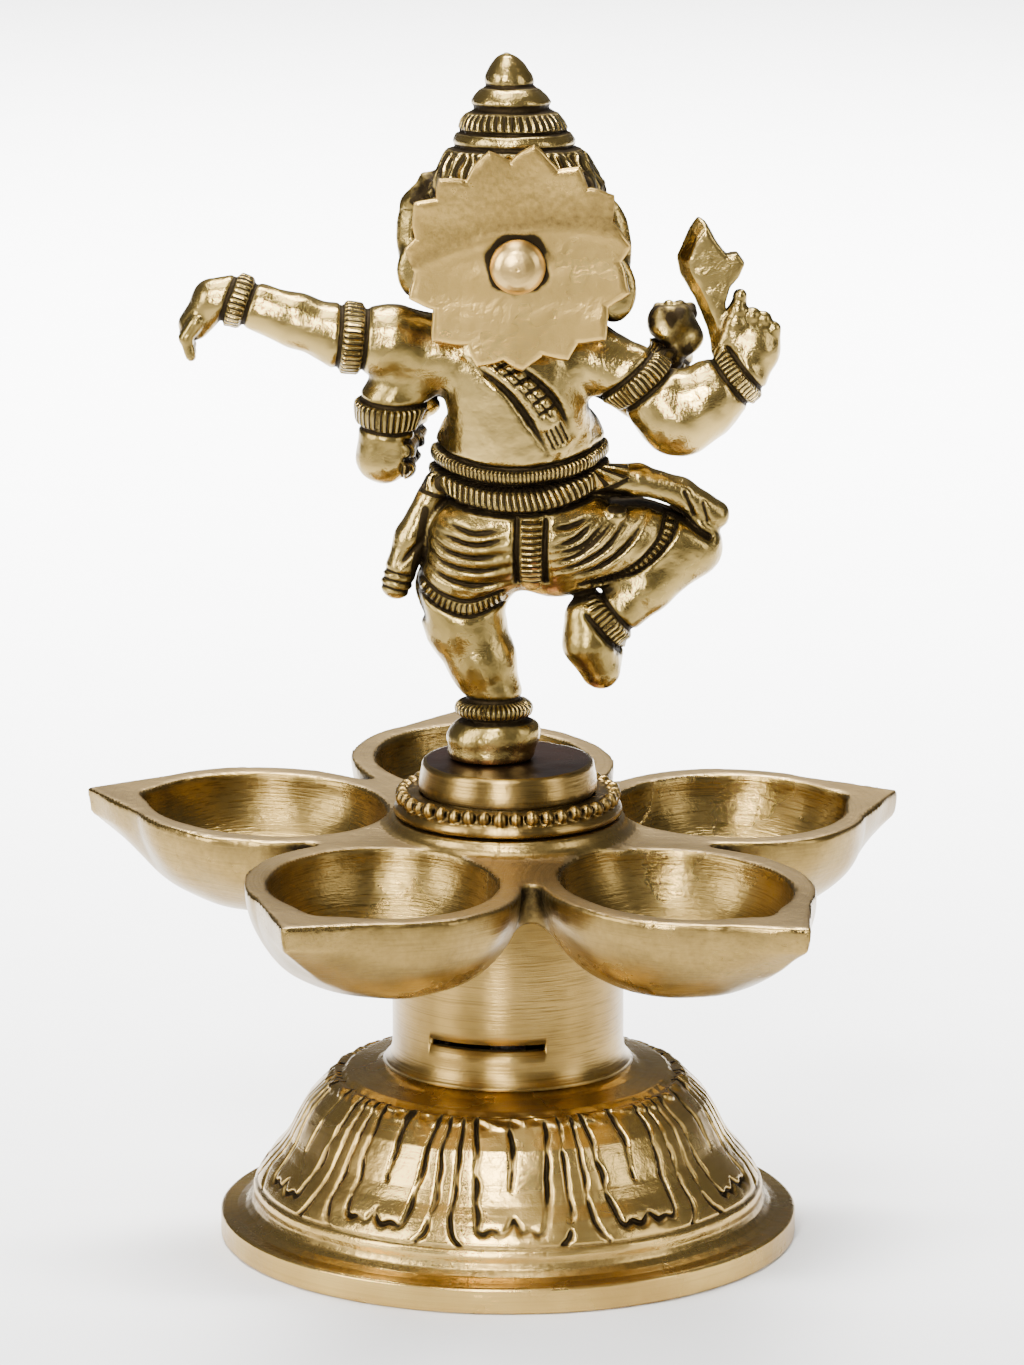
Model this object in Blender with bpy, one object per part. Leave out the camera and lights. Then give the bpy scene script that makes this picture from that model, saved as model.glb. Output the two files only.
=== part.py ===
"""Five-cup brass oil lamp: a bell base and a slotted column carry a star-shaped tray of oil cups, and
a dancing elephant-headed figure stands on a turned pedestal above it. The figure faces +Y."""

import bmesh
import bpy
from math import cos, exp, pi, radians, sin, sqrt, tau
from mathutils import Matrix, Vector

MM = 0.001

# The lamp's turned axis stands at this place, so that the whole lamp's box is centred on the origin.
AXIS = Vector((2.0, -3.9, 0.0))
GAP = 0.3
STEPS = 48

# Base, in millimetres like every size here.
FLANGE_RADIUS = 48.2
FLANGE_HEIGHT = 4.4
BAND_RADIUS = 42.6
BAND_TOP = 9.0
SHOULDER_RADIUS = 27.1
SHOULDER_HEIGHT = 28.0
DECK_TOP = 29.6
BASE_WALL = 3.0
PETALS = 11
PETAL_GROOVE_DEPTH = 0.7
FIRST_PETAL = -pi / 2

# Column.
COLUMN_RADIUS = 19.3
COLUMN_WALL = 2.2
COLUMN_TOP = 63.0
SLOT_HEIGHT = 1.3
SLOT_Z = 36.7
SLOT_HALF_ANGLE = radians(31.3)
SLOT_FACES = radians(-101.6)

# Tray: its rim leans, higher at the back left, while its hub stays level.
CUPS = 5
FIRST_CUP = radians(24.2)
RIM_Z = 70.0
LEAN_X = -0.0346
LEAN_Y = 0.0327
CUP_CENTRE = 40.9
CUP_HALF_WIDTH = 22.4
CUP_TIP = 72.6
CUP_DEPTH = 17.5
CAVITY_LENGTH = 20.2
CAVITY_WIDTH = 18.2
CAVITY_DEPTH = 14.5
WEB_RADIUS = 34.0
HUB_TOP = 72.0
HUB_RADIUS = 19.2
BOSS_RADIUS = 8.0
BOSS_BOTTOM = 50.0

# Pedestal.
COLLAR_RADIUS = 19.0
COLLAR_TOP = 76.0
BEADS = 42
BEAD_RADIUS = 1.2
BEAD_RING = 17.6
BEAD_Z = 75.4
SPIGOT_RADIUS = 14.2
DRUM_RADIUS = 14.8
DRUM_TOP = 81.3

# Fasteners.
BOLT_RADIUS = 3.0
BOLT_TOP = 61.0
STUD_RADIUS = 2.5
STUD_BOTTOM = 64.0
STUD_TOP = 86.0
CLEARANCE = 0.3

# Halo, on a rivet whose axis runs along Y.
HALO_RADIUS = 18.9
HALO_ROOT = 16.5
HALO_POINTS = 15
HALO_THICKNESS = 1.5
HALO_BACK = -12.8
HALO_RISE = 1.0
RIVET = Vector((1.6, 0.0, 167.0))
RIVET_RADIUS = 4.5
RIVET_HEIGHT = 3.0
SHANK_RADIUS = 1.5
SHANK_FRONT = -7.0

FIGURE_VOXEL = 1.0
FIGURE_KEEP = 0.065


def clear_scene():
    for old in list(bpy.data.objects):
        bpy.data.objects.remove(old, do_unlink=True)


def metal(name, colour, roughness, metallic=1.0):
    material = bpy.data.materials.new(name)
    material.use_nodes = True
    shader = material.node_tree.nodes["Principled BSDF"]
    shader.inputs["Base Color"].default_value = (*colour, 1.0)
    shader.inputs["Roughness"].default_value = roughness
    shader.inputs["Metallic"].default_value = metallic
    return material


def add_object(name, bm, material, parent):
    """Makes an object from the mesh, whose sizes are millimetres, and shades it smooth up to 35 degrees."""
    bmesh.ops.recalc_face_normals(bm, faces=bm.faces)
    bmesh.ops.scale(bm, vec=(MM, MM, MM), verts=bm.verts)
    mesh = bpy.data.meshes.new(name)
    bm.to_mesh(mesh)
    bm.free()
    mesh.materials.append(material)
    mesh.shade_smooth()
    mesh.set_sharp_from_angle(angle=radians(35))
    made = bpy.data.objects.new(name, mesh)
    bpy.context.collection.objects.link(made)
    made.parent = parent
    return made


def hide_cutter(cutter):
    cutter.hide_render = True
    cutter.display_type = "WIRE"
    return cutter


def combine(target, other, operation):
    """Cuts, joins or intersects with another object, which stays in the scene as a hidden helper."""
    modifier = target.modifiers.new(operation.lower(), "BOOLEAN")
    modifier.operation = operation
    modifier.object = hide_cutter(other)
    modifier.solver = "EXACT"


def ring_faces(bm, above, below):
    """Joins two rings of points, either of which may be a single point on the axis."""
    count = max(len(above), len(below))
    for step in range(count):
        after = (step + 1) % count
        corners = [above[step % len(above)], below[step % len(below)]]
        corners += [below[after % len(below)], above[after % len(above)]]
        bm.faces.new(list(dict.fromkeys(corners)))


def turned_mesh(profile, steps=STEPS, carve=None, begin=0.0):
    """A solid of revolution about Z, from (radius, height) points in order round its section.
    begin turns its facets by that share of one step."""
    bm = bmesh.new()
    rings = []
    for radius, height in profile:
        if radius == 0:
            rings.append([bm.verts.new((0, 0, height))])
            continue
        ring = []
        for step in range(steps):
            angle = tau * (step + begin) / steps
            reach = radius - (carve(angle, radius, height) if carve else 0)
            ring.append(bm.verts.new((reach * cos(angle), reach * sin(angle), height)))
        rings.append(ring)
    for above, below in zip(rings, rings[1:]):
        ring_faces(bm, above, below)
    if len(rings[0]) > 1:
        ring_faces(bm, rings[-1], rings[0])
    return bm


def turned(name, profile, material, parent, steps=STEPS, carve=None, begin=0.0):
    return add_object(name, turned_mesh(profile, steps, carve, begin), material, parent)


def plain_cylinder(radius, bottom, top):
    return [(0, top), (radius, top), (radius, bottom), (0, bottom)]


# The base and the column.


def dome_point(share):
    """The dome's outer side, from the shoulder at 0 to the band at 1: it falls steeply and flares out."""
    height = SHOULDER_HEIGHT - 0.6 + share * (BAND_TOP - SHOULDER_HEIGHT + 0.6)
    swell = 4.4 * sin(pi * share ** 0.62)
    return SHOULDER_RADIUS + 1.2 + share * (BAND_RADIUS - SHOULDER_RADIUS - 1.8) + swell, height


def petal_groove(angle, radius, height):
    """How deep the dome is carved: a groove between two petals, and a shorter one down each middle."""
    if radius < SHOULDER_RADIUS + 1 or not BAND_TOP < height < SHOULDER_HEIGHT - 1:
        return 0
    turn = ((angle - FIRST_PETAL) * PETALS / tau + 0.5) % 1 - 0.5
    side = exp(-(((0.5 - abs(turn)) / 0.07) ** 2))
    middle = exp(-((turn / 0.07) ** 2)) * (height > 19)
    return PETAL_GROOVE_DEPTH * max(side, middle)


def make_base(material, parent):
    dome = [dome_point(step / 6) for step in range(7)]
    outer = [(12.0, DECK_TOP), (20.6, DECK_TOP), (22.0, 28.9), (SHOULDER_RADIUS, SHOULDER_HEIGHT)]
    outer += dome
    outer += [(BAND_RADIUS, BAND_TOP - 0.1), (BAND_RADIUS, 7.0), (43.2, 5.6), (45.6, FLANGE_HEIGHT)]
    outer += [(FLANGE_RADIUS - 0.5, FLANGE_HEIGHT), (FLANGE_RADIUS, FLANGE_HEIGHT - 0.5)]
    outer += [(FLANGE_RADIUS, 0)]
    wall = [(radius - BASE_WALL, height - 1.5) for radius, height in dome[::-2]]
    inner = [(FLANGE_RADIUS - 3.4, 0), (BAND_RADIUS - BASE_WALL, 5.0)] + wall
    inner += [(22.0, DECK_TOP - BASE_WALL), (BOLT_RADIUS + CLEARANCE, DECK_TOP - BASE_WALL)]
    inner += [(BOLT_RADIUS + CLEARANCE, DECK_TOP)]
    return turned("lotus_base", outer + inner, material, parent, 6 * PETALS, petal_groove, begin=0.5)


def make_column(material, parent):
    bore = COLUMN_RADIUS - COLUMN_WALL
    foot = DECK_TOP + GAP
    outer = [(COLUMN_RADIUS, COLUMN_TOP), (COLUMN_RADIUS, foot + 2.0), (20.4, foot + 0.4), (20.4, foot)]
    column = turned("column", outer + [(bore, foot), (bore, COLUMN_TOP)], material, parent)
    blade = bmesh.new()
    bmesh.ops.create_cube(blade, size=1.0)
    depth = COLUMN_RADIUS * (1 - cos(SLOT_HALF_ANGLE))
    reach = COLUMN_RADIUS + 10 - depth / 2
    size = Matrix.Diagonal((20 + depth, 60, SLOT_HEIGHT, 1))
    bmesh.ops.transform(blade, matrix=size, verts=blade.verts)
    spot = Matrix.Rotation(SLOT_FACES, 4, "Z") @ Matrix.Translation((reach, 0, SLOT_Z))
    bmesh.ops.transform(blade, matrix=spot, verts=blade.verts)
    combine(column, add_object("slot_blade", blade, material, parent), "DIFFERENCE")
    return column


# The tray.


def cup_reach(turn):
    """The cup's outer edge, measured from its centre: round, drawn out to a blunt point at turn 0."""
    oval = CUP_HALF_WIDTH + 1.6 * cos(turn) ** 2
    return oval + (CUP_TIP - CUP_CENTRE - CUP_HALF_WIDTH - 1.6) * exp(-((turn / 0.40) ** 2))


def cavity_reach(turn):
    return 1 / sqrt((cos(turn) / CAVITY_LENGTH) ** 2 + (sin(turn) / CAVITY_WIDTH) ** 2)


def bowl(reach, depth, top, lift, steps, levels):
    """A bowl-shaped solid about the cup's centre, with its flat top raised by lift."""
    bm = bmesh.new()
    rings = []
    for level in range(levels + 1):
        fall = pi / 2 * level / levels
        height = top - depth * sin(fall)
        share = cos(fall) ** 0.8 if level < levels else 0
        rings.append(bowl_ring(bm, reach, share, height, steps))
    if lift:
        rings.insert(0, bowl_ring(bm, reach, 1.0, top + lift, steps))
    bm.faces.new(rings[0])
    for above, below in zip(rings, rings[1:]):
        ring_faces(bm, above, below)
    return bm


def bowl_ring(bm, reach, share, height, steps):
    if share == 0:
        return [bm.verts.new((0, 0, height))]
    ring = []
    for step in range(steps):
        turn = tau * (step + 0.5) / steps - pi
        radius = share * reach(turn)
        ring.append(bm.verts.new((radius * cos(turn), radius * sin(turn), height)))
    return ring


def lean_with_rim(bm):
    for vertex in bm.verts:
        vertex.co.z += LEAN_X * vertex.co.x + LEAN_Y * vertex.co.y


def place_at_cup(bm, number):
    turn = Matrix.Rotation(FIRST_CUP + tau * number / CUPS, 4, "Z")
    bmesh.ops.transform(bm, matrix=turn @ Matrix.Translation((CUP_CENTRE, 0, 0)), verts=bm.verts)


def make_tray(material, parent):
    plate = [(0, RIM_Z + 1), (WEB_RADIUS, RIM_Z + 1), (WEB_RADIUS - 3, RIM_Z - 6), (0, RIM_Z - 6)]
    web = turned_mesh(plate, 40)
    lean_with_rim(web)
    tray = add_object("cup_tray", web, material, parent)
    for number in range(CUPS):
        cup = bowl(cup_reach, CUP_DEPTH, RIM_Z - 2.0, 4.0 + 0.3 * number, 28, 5)
        place_at_cup(cup, number)
        lean_with_rim(cup)
        combine(tray, add_object(f"cup_outside_{number}", cup, material, parent), "UNION")
    above_rim = turned_mesh(plain_cylinder(CUP_TIP + 10, RIM_Z, RIM_Z + 20))
    lean_with_rim(above_rim)
    combine(tray, add_object("above_rim", above_rim, material, parent), "DIFFERENCE")
    seat = turned_mesh(plain_cylinder(COLUMN_RADIUS + 0.8, 40, COLUMN_TOP + GAP))
    combine(tray, add_object("column_seat", seat, material, parent), "DIFFERENCE")
    hub = [(0, HUB_TOP), (HUB_RADIUS, HUB_TOP), (HUB_RADIUS + 1.0, HUB_TOP - 1.0), (HUB_RADIUS + 2.6, 68.0)]
    hub += [(HUB_RADIUS - 1.2, 66.5), (BOSS_RADIUS, 66.0), (BOSS_RADIUS, BOSS_BOTTOM), (0, BOSS_BOTTOM)]
    combine(tray, add_object("hub", turned_mesh(hub, 42), material, parent), "UNION")
    for number in range(CUPS):
        hollow = bowl(cavity_reach, CAVITY_DEPTH, RIM_Z, 8.0, 24, 4)
        place_at_cup(hollow, number)
        lean_with_rim(hollow)
        combine(tray, add_object(f"cup_hollow_{number}", hollow, material, parent), "DIFFERENCE")
    bolt_hole = turned_mesh(plain_cylinder(BOLT_RADIUS + CLEARANCE, BOSS_BOTTOM - 5, BOLT_TOP + 0.5), 16)
    combine(tray, add_object("bolt_hole", bolt_hole, material, parent), "DIFFERENCE")
    stud_hole = turned_mesh(plain_cylinder(STUD_RADIUS + CLEARANCE, STUD_BOTTOM - 0.5, HUB_TOP + 5), 16)
    combine(tray, add_object("stud_hole", stud_hole, material, parent), "DIFFERENCE")
    return tray


# The bolt from below, and the stud above.


def make_bolt(material, parent):
    head_top = DECK_TOP - BASE_WALL - 2.6 - 3 * GAP
    shank = turned_mesh(plain_cylinder(BOLT_RADIUS, head_top - 0.5, BOLT_TOP), 16)
    bolt = add_object("tie_bolt", shank, material, parent)
    head = turned_mesh(plain_cylinder(5.77, head_top - 4.0, head_top), 6)
    combine(bolt, add_object("bolt_head", head, material, parent), "UNION")
    return bolt


def washer(name, inner, outer, bottom, top, material, parent, split=False):
    section = [(outer, top), (outer, bottom), (inner, bottom), (inner, top)]
    made = turned(name, section, material, parent, 24)
    if split:
        saw = bmesh.new()
        bmesh.ops.create_cube(saw, size=1.0)
        spot = Matrix.Translation((outer, 0, (bottom + top) / 2))
        spot @= Matrix.Diagonal((2 * (outer - 1), 1.0, 6, 1))
        bmesh.ops.transform(saw, matrix=spot, verts=saw.verts)
        combine(made, add_object(name + "_saw", saw, material, parent), "DIFFERENCE")
    return made


def make_washers(material, parent):
    deck = DECK_TOP - BASE_WALL - GAP
    washer("bolt_washer", BOLT_RADIUS + 0.2, 8.0, deck - 1.2, deck, material, parent)
    top = deck - 1.2 - GAP
    washer("lock_washer", BOLT_RADIUS + 0.2, 5.4, top - 1.4, top, material, parent, True)


def make_pedestal(material, parent):
    """A drum with a spigot under it that fills the collar."""
    foot = HUB_TOP + GAP
    ledge = COLLAR_TOP + GAP
    outer = [(DRUM_RADIUS - 0.9, DRUM_TOP), (DRUM_RADIUS - 0.5, DRUM_TOP - 0.4), (DRUM_RADIUS, ledge + 1.3)]
    outer += [(DRUM_RADIUS, ledge), (SPIGOT_RADIUS, ledge), (SPIGOT_RADIUS, foot)]
    inner = [(10.0, foot), (10.0, foot + 1.4), (STUD_RADIUS + CLEARANCE, foot + 1.4)]
    inner += [(STUD_RADIUS + CLEARANCE, DRUM_TOP)]
    return turned("pedestal", outer + inner, material, parent)


def make_collar(material, parent):
    """A ring with a rounded foot, and beads standing out from it under its ledge."""
    foot = HUB_TOP + GAP
    inner = SPIGOT_RADIUS + GAP
    section = [(inner, COLLAR_TOP), (BEAD_RING - 0.3, COLLAR_TOP), (BEAD_RING, 74.6)]
    section += [(COLLAR_RADIUS - 0.4, 74.2), (COLLAR_RADIUS, 73.5), (COLLAR_RADIUS, foot + 0.4)]
    section += [(COLLAR_RADIUS - 0.4, foot), (inner, foot)]
    collar = turned("beaded_collar", section, material, parent)
    beads = bmesh.new()
    for number in range(BEADS):
        angle = tau * number / BEADS
        spot = Matrix.Translation((BEAD_RING * cos(angle), BEAD_RING * sin(angle), BEAD_Z))
        bmesh.ops.create_uvsphere(beads, u_segments=6, v_segments=4, radius=BEAD_RADIUS, matrix=spot)
    combine(collar, add_object("beads", beads, material, parent), "UNION")
    return collar


def make_stud(material, parent):
    stud = plain_cylinder(STUD_RADIUS, STUD_BOTTOM, STUD_TOP)
    return turned("figure_stud", stud, material, parent, 20)


# The figure: rounded limbs and masses, melted into one casting.


def add_hull(bm, ends):
    """The hull of balls, each a (place, radius) pair: a tapered limb or a flat web."""
    hull = bmesh.new()
    for place, radius in ends:
        bmesh.ops.create_icosphere(hull, subdivisions=2, radius=radius, matrix=Matrix.Translation(place))
    bmesh.ops.delete(hull, geom=list(hull.edges), context="EDGES_FACES")
    found = bmesh.ops.convex_hull(hull, input=list(hull.verts))
    inside = {item for item in found["geom_interior"] + found["geom_unused"]}
    bmesh.ops.delete(hull, geom=[item for item in inside if isinstance(item, bmesh.types.BMVert)])
    piece = bpy.data.meshes.new("hull")
    hull.to_mesh(piece)
    hull.free()
    bm.from_mesh(piece)
    bpy.data.meshes.remove(piece)


def add_limb(bm, *joints):
    """A chain of tapered limbs through (x, y, z, radius) joints."""
    for start, end in zip(joints, joints[1:]):
        add_hull(bm, [(Vector(start[:3]), start[3]), (Vector(end[:3]), end[3])])


def add_oval(bm, centre, radii):
    matrix = Matrix.Translation(centre) @ Matrix.Diagonal((*radii, 1))
    bmesh.ops.create_icosphere(bm, subdivisions=3, radius=1.0, matrix=matrix)


def add_crown(bm):
    """A stepped cone of four rings and a bud, each ring a little further back than the one below."""
    rings = [(1.0, 182.4, 12.6, 2.9), (1.0, 186.4, 10.0, 1.6)]
    rings += [(0.6, 189.3, 8.4, 1.8), (0.2, 192.8, 6.2, 1.8)]
    for x, z, radius, half in rings:
        add_oval(bm, (x, 2.0, z), (radius, radius, 2 * half))
    add_limb(bm, (-0.3, 2, 194.0, 3.9), (-0.5, 2, 199.6, 1.1))


def add_head(bm):
    add_oval(bm, (0.9, 3.0, 166.5), (12.0, 12.0, 15.5))
    add_limb(bm, (1, 12, 163, 5.0), (2, 17, 155, 4.0), (3, 18, 147, 3.2))
    add_limb(bm, (3, 18, 147, 3.2), (0, 18, 141, 2.7), (-5, 18, 138, 2.4))
    for side, top, bottom in ((-1, (-15.0, 177), (-14.5, 163)), (1, (16.6, 175.5), (17.5, 158.5))):
        inner = Vector((side * 7, 3, 168))
        flaps = [(inner, 2.2), (Vector((top[0], 2, top[1])), 1.7), (Vector((bottom[0], 3, bottom[1])), 2.2)]
        flaps.append((Vector((side * 17.2 + 0.8, 0, 168.5)), 1.4))
        add_hull(bm, flaps)
        add_limb(bm, (side * 5 + 1, 13, 159, 1.6), (side * 6.5 + 1, 17.5, 155.5, 1.0))
    add_limb(bm, (RIVET.x, -2, RIVET.z, 4.5), (RIVET.x, -6.5, RIVET.z, 4.0))


def add_torso(bm):
    add_limb(bm, (0.8, 2, 158, 7.5), (0.8, 1, 148, 9.0))
    add_hull(bm, [(Vector((-12, 1, 150)), 6.2), (Vector((12, 1, 149)), 6.0), (Vector((1.5, 1, 139)), 9.5)])
    add_oval(bm, (2.2, 5.5, 131.5), (14.8, 12.5, 13.0))
    add_oval(bm, (3.5, 1.5, 119.0), (16.8, 11.5, 10.5))


def add_arms(bm):
    add_limb(bm, (-12, 0, 151, 6), (-19, -1, 152.2, 5.4), (-26.7, -1, 153.1, 5.0), (-34.5, 0, 155.8, 4.3))
    add_limb(bm, (-34.5, 0, 155.8, 4.3), (-44.8, 0, 159.1, 3.9))
    add_limb(bm, (-44.8, 0, 159.1, 3.9), (-49.0, 1, 157.8, 3.6), (-51.8, 1, 151.6, 2.3))
    add_limb(bm, (-14, 3, 150, 5.5), (-19.7, 2, 139.7, 4.4), (-20.6, 3, 132.0, 4.0), (-16, 18, 137, 3.0))
    add_limb(bm, (-16, 18, 137, 3.0), (-14, 22, 139, 4.0))
    add_limb(bm, (12, 0, 150, 6), (21.0, -1, 146.2, 5.0), (28.0, -1.5, 140.0, 6.4), (37.9, -1, 146.7, 4.6))
    add_limb(bm, (37.9, -1, 146.7, 4.5), (40.1, -1, 151.4, 4.7), (38.4, -1, 156.8, 2.6))
    add_limb(bm, (13, 4, 150, 5.5), (24.5, 8, 140.5, 4.2), (27.1, 9, 147, 3.6), (27.6, 8, 153.2, 4.1))


def add_axe(bm):
    add_limb(bm, (36.5, 0, 148, 1.6), (33.6, 0, 163, 1.6))
    blade = [(31.8, 171.0), (28.8, 165.6), (33.8, 160.5), (37.6, 164.5)]
    add_hull(bm, [(Vector((x, 0, z)), 1.3) for x, z in blade])


def add_legs(bm):
    add_limb(bm, (-4, 1, 117, 9.5), (-8.2, 2, 109.5, 7.2), (-7.0, 0, 104.2, 6.5), (-4.5, 0, 98.8, 5.6))
    add_limb(bm, (-4.5, 0, 98.8, 5.6), (-2.3, 0, 92.5, 4.6), (-1.9, 0, 87.0, 5.0))
    sole = [(-5.4, 0.5, 84.8, 4.8), (-5.2, 9.0, 83.5, 4.0), (0.4, 0.5, 84.8, 4.8), (-0.4, 9.5, 83.0, 3.8)]
    add_hull(bm, [(Vector(place[:3]), place[3]) for place in sole])
    add_limb(bm, (8, 1, 117.5, 8.5), (20.2, 4, 117.6, 6.8), (30.2, 6, 116.3, 5.3))
    add_limb(bm, (30.2, 6, 116.3, 5.3), (22.5, 2.5, 110.8, 5.0), (16.8, 0.5, 105.4, 4.3))
    add_limb(bm, (13.2, 0, 105.6, 3.9), (13.4, -0.6, 101.4, 4.2), (15.4, 0, 96.2, 3.0))


def add_cloth(bm):
    add_limb(bm, (-12.0, 1, 127, 2.4), (-16.4, 0, 118, 2.5), (-17.6, 0, 111.5, 2.2))
    add_limb(bm, (14.0, 2, 128, 3.4), (24.5, 4, 125.4, 3.2), (33.8, 5, 121.2, 2.2))


def make_figure(material, parent):
    bm = bmesh.new()
    for add_part in (add_crown, add_head, add_torso, add_arms, add_axe, add_legs, add_cloth):
        add_part(bm)
    figure = add_object("figure", bm, material, parent)
    melt = figure.modifiers.new("melt", "REMESH")
    melt.mode = "VOXEL"
    melt.voxel_size = FIGURE_VOXEL * MM
    thin = figure.modifiers.new("thin", "DECIMATE")
    thin.ratio = FIGURE_KEEP
    floor = turned_mesh(plain_cylinder(40, DRUM_TOP - 30, DRUM_TOP + GAP), 32)
    combine(figure, add_object("foot_plane", floor, material, parent), "DIFFERENCE")
    stud_hole = turned_mesh(plain_cylinder(STUD_RADIUS + CLEARANCE, DRUM_TOP - 5, STUD_TOP + 0.5), 16)
    combine(figure, add_object("foot_hole", stud_hole, material, parent), "DIFFERENCE")
    back = turned_mesh(plain_cylinder(30, HALO_BACK - 10, HALO_BACK + HALO_THICKNESS + GAP), 24)
    turn_to_rivet(back)
    combine(figure, add_object("halo_plane", back, material, parent), "DIFFERENCE")
    bore = plain_cylinder(SHANK_RADIUS + CLEARANCE, HALO_BACK - 5, SHANK_FRONT + 0.5)
    rivet_hole = turned_mesh(bore, 16)
    turn_to_rivet(rivet_hole)
    combine(figure, add_object("rivet_hole", rivet_hole, material, parent), "DIFFERENCE")
    return figure


# The halo and its rivet.


def turn_to_rivet(bm):
    """Lays a mesh made along Z down along the rivet's axis, so that heights become distances along Y."""
    place = Matrix.Translation(RIVET) @ Matrix.Rotation(-pi / 2, 4, "X")
    bmesh.ops.transform(bm, matrix=place, verts=bm.verts)


def halo_reach(angle):
    """The halo's edge: a ring of pointed teeth, one of them straight down."""
    share = ((angle + pi / 2) * HALO_POINTS / tau) % 1
    return HALO_ROOT + (HALO_RADIUS - HALO_ROOT) * abs(1 - 2 * share)


def make_halo(material, parent):
    bm = bmesh.new()
    steps = 4 * HALO_POINTS
    faces = []
    for y in (HALO_BACK, HALO_BACK + HALO_THICKNESS):
        ring = []
        for step in range(steps):
            angle = tau * step / steps - pi / 2
            reach = halo_reach(angle)
            x, z = RIVET.x + reach * cos(angle), RIVET.z + HALO_RISE + reach * sin(angle)
            ring.append(bm.verts.new((x, y, z)))
        faces.append(ring)
        bm.faces.new(ring)
    ring_faces(bm, *faces)
    disc = add_object("halo_disc", bm, material, parent)
    hole = turned_mesh(plain_cylinder(SHANK_RADIUS + 0.4, HALO_BACK - 2, HALO_BACK + 4), 16)
    turn_to_rivet(hole)
    combine(disc, add_object("halo_hole", hole, material, parent), "DIFFERENCE")
    return disc


def make_rivet(material, parent):
    under = HALO_BACK - 0.4
    dome = [(0, under - RIVET_HEIGHT)]
    for step in range(1, 5):
        lean = pi / 2 * step / 4
        dome.append((RIVET_RADIUS * sin(lean), under - 1.0 - (RIVET_HEIGHT - 1.0) * cos(lean)))
    shank = [(SHANK_RADIUS, under), (SHANK_RADIUS, SHANK_FRONT), (0, SHANK_FRONT)]
    bm = turned_mesh(dome + [(RIVET_RADIUS, under)] + shank, 20)
    turn_to_rivet(bm)
    return add_object("halo_rivet", bm, material, parent)


def main():
    clear_scene()
    lamp = bpy.data.objects.new("lamp_axis", None)
    bpy.context.collection.objects.link(lamp)
    lamp.location = AXIS * MM
    cast = metal("cast_brass", (0.62, 0.43, 0.19), 0.42)
    turned_brass = metal("turned_brass", (0.80, 0.58, 0.27), 0.22)
    figure_brass = metal("figure_brass", (0.66, 0.47, 0.22), 0.34)
    plate = metal("brass_plate", (0.72, 0.54, 0.30), 0.30)
    steel = metal("zinc_steel", (0.62, 0.62, 0.64), 0.35)
    make_base(cast, lamp)
    make_column(turned_brass, lamp)
    make_tray(cast, lamp)
    make_bolt(steel, lamp)
    make_washers(steel, lamp)
    washer("seat_washer", STUD_RADIUS + 0.3, 9.2, HUB_TOP + GAP, HUB_TOP + 1.4, plate, lamp)
    make_pedestal(turned_brass, lamp)
    make_collar(turned_brass, lamp)
    make_stud(steel, lamp)
    make_figure(figure_brass, lamp)
    make_halo(plate, lamp)
    make_rivet(turned_brass, lamp)


main()
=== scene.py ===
"""The five-cup brass oil lamp, dressed for its picture. Sizes are millimetres about the lamp's own axis,
and every mesh is turned into metres in the row frame as it is made. The figure's back is towards -Y."""

from math import cos, pi, radians, sin, tau

import bpy
import numpy as np
from mathutils import Euler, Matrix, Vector


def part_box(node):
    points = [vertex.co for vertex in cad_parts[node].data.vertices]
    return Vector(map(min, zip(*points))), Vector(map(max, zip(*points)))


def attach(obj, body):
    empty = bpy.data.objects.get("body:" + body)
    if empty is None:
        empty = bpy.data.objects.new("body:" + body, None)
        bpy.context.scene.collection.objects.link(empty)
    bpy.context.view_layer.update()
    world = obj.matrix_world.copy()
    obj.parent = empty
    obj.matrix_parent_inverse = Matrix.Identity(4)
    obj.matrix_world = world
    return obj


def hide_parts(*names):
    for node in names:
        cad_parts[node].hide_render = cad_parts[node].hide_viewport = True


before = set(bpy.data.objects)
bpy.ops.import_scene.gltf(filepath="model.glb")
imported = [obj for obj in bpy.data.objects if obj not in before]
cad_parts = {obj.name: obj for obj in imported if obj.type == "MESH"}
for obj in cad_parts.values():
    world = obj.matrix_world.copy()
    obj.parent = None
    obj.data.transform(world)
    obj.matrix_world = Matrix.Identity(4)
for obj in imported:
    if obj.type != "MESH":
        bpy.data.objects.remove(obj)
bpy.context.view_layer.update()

MM = 0.001


def middle_of(node):
    low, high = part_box(node)
    return (np.array(low) + np.array(high)) / 2 / MM


AXIS = np.array([*middle_of("column")[:2], 0.0])
GRAIN = 0.4
RIVET = middle_of("halo_rivet") - AXIS
HALO_Y = (middle_of("halo_disc") - AXIS)[1]
DRUM_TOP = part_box("pedestal")[1][2] / MM
HUB_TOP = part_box("pedestal")[0][2] / MM - 0.3
COLUMN_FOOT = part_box("column")[0][2] / MM
FLANGE_RADIUS = (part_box("lotus_base")[1][0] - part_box("lotus_base")[0][0]) / 2 / MM
DRUM_EDGE = (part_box("pedestal")[1][0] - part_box("pedestal")[0][0]) / 2 / MM

# Clay: a block of space that holds the distance to a surface, for shapes that melt into one another.


def melted(a, b, soft):
    """The distance to two solids joined, with a fillet where they meet."""
    share = np.clip(0.5 + 0.5 * (a - b) / soft, 0, 1)
    return a + (b - a) * share - soft * share * (1 - share)


def shared(a, b, soft):
    """The distance to what two solids have in common, with a rounded edge."""
    share = np.clip(0.5 - 0.5 * (a - b) / soft, 0, 1)
    return a + (b - a) * share + soft * share * (1 - share)


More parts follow.
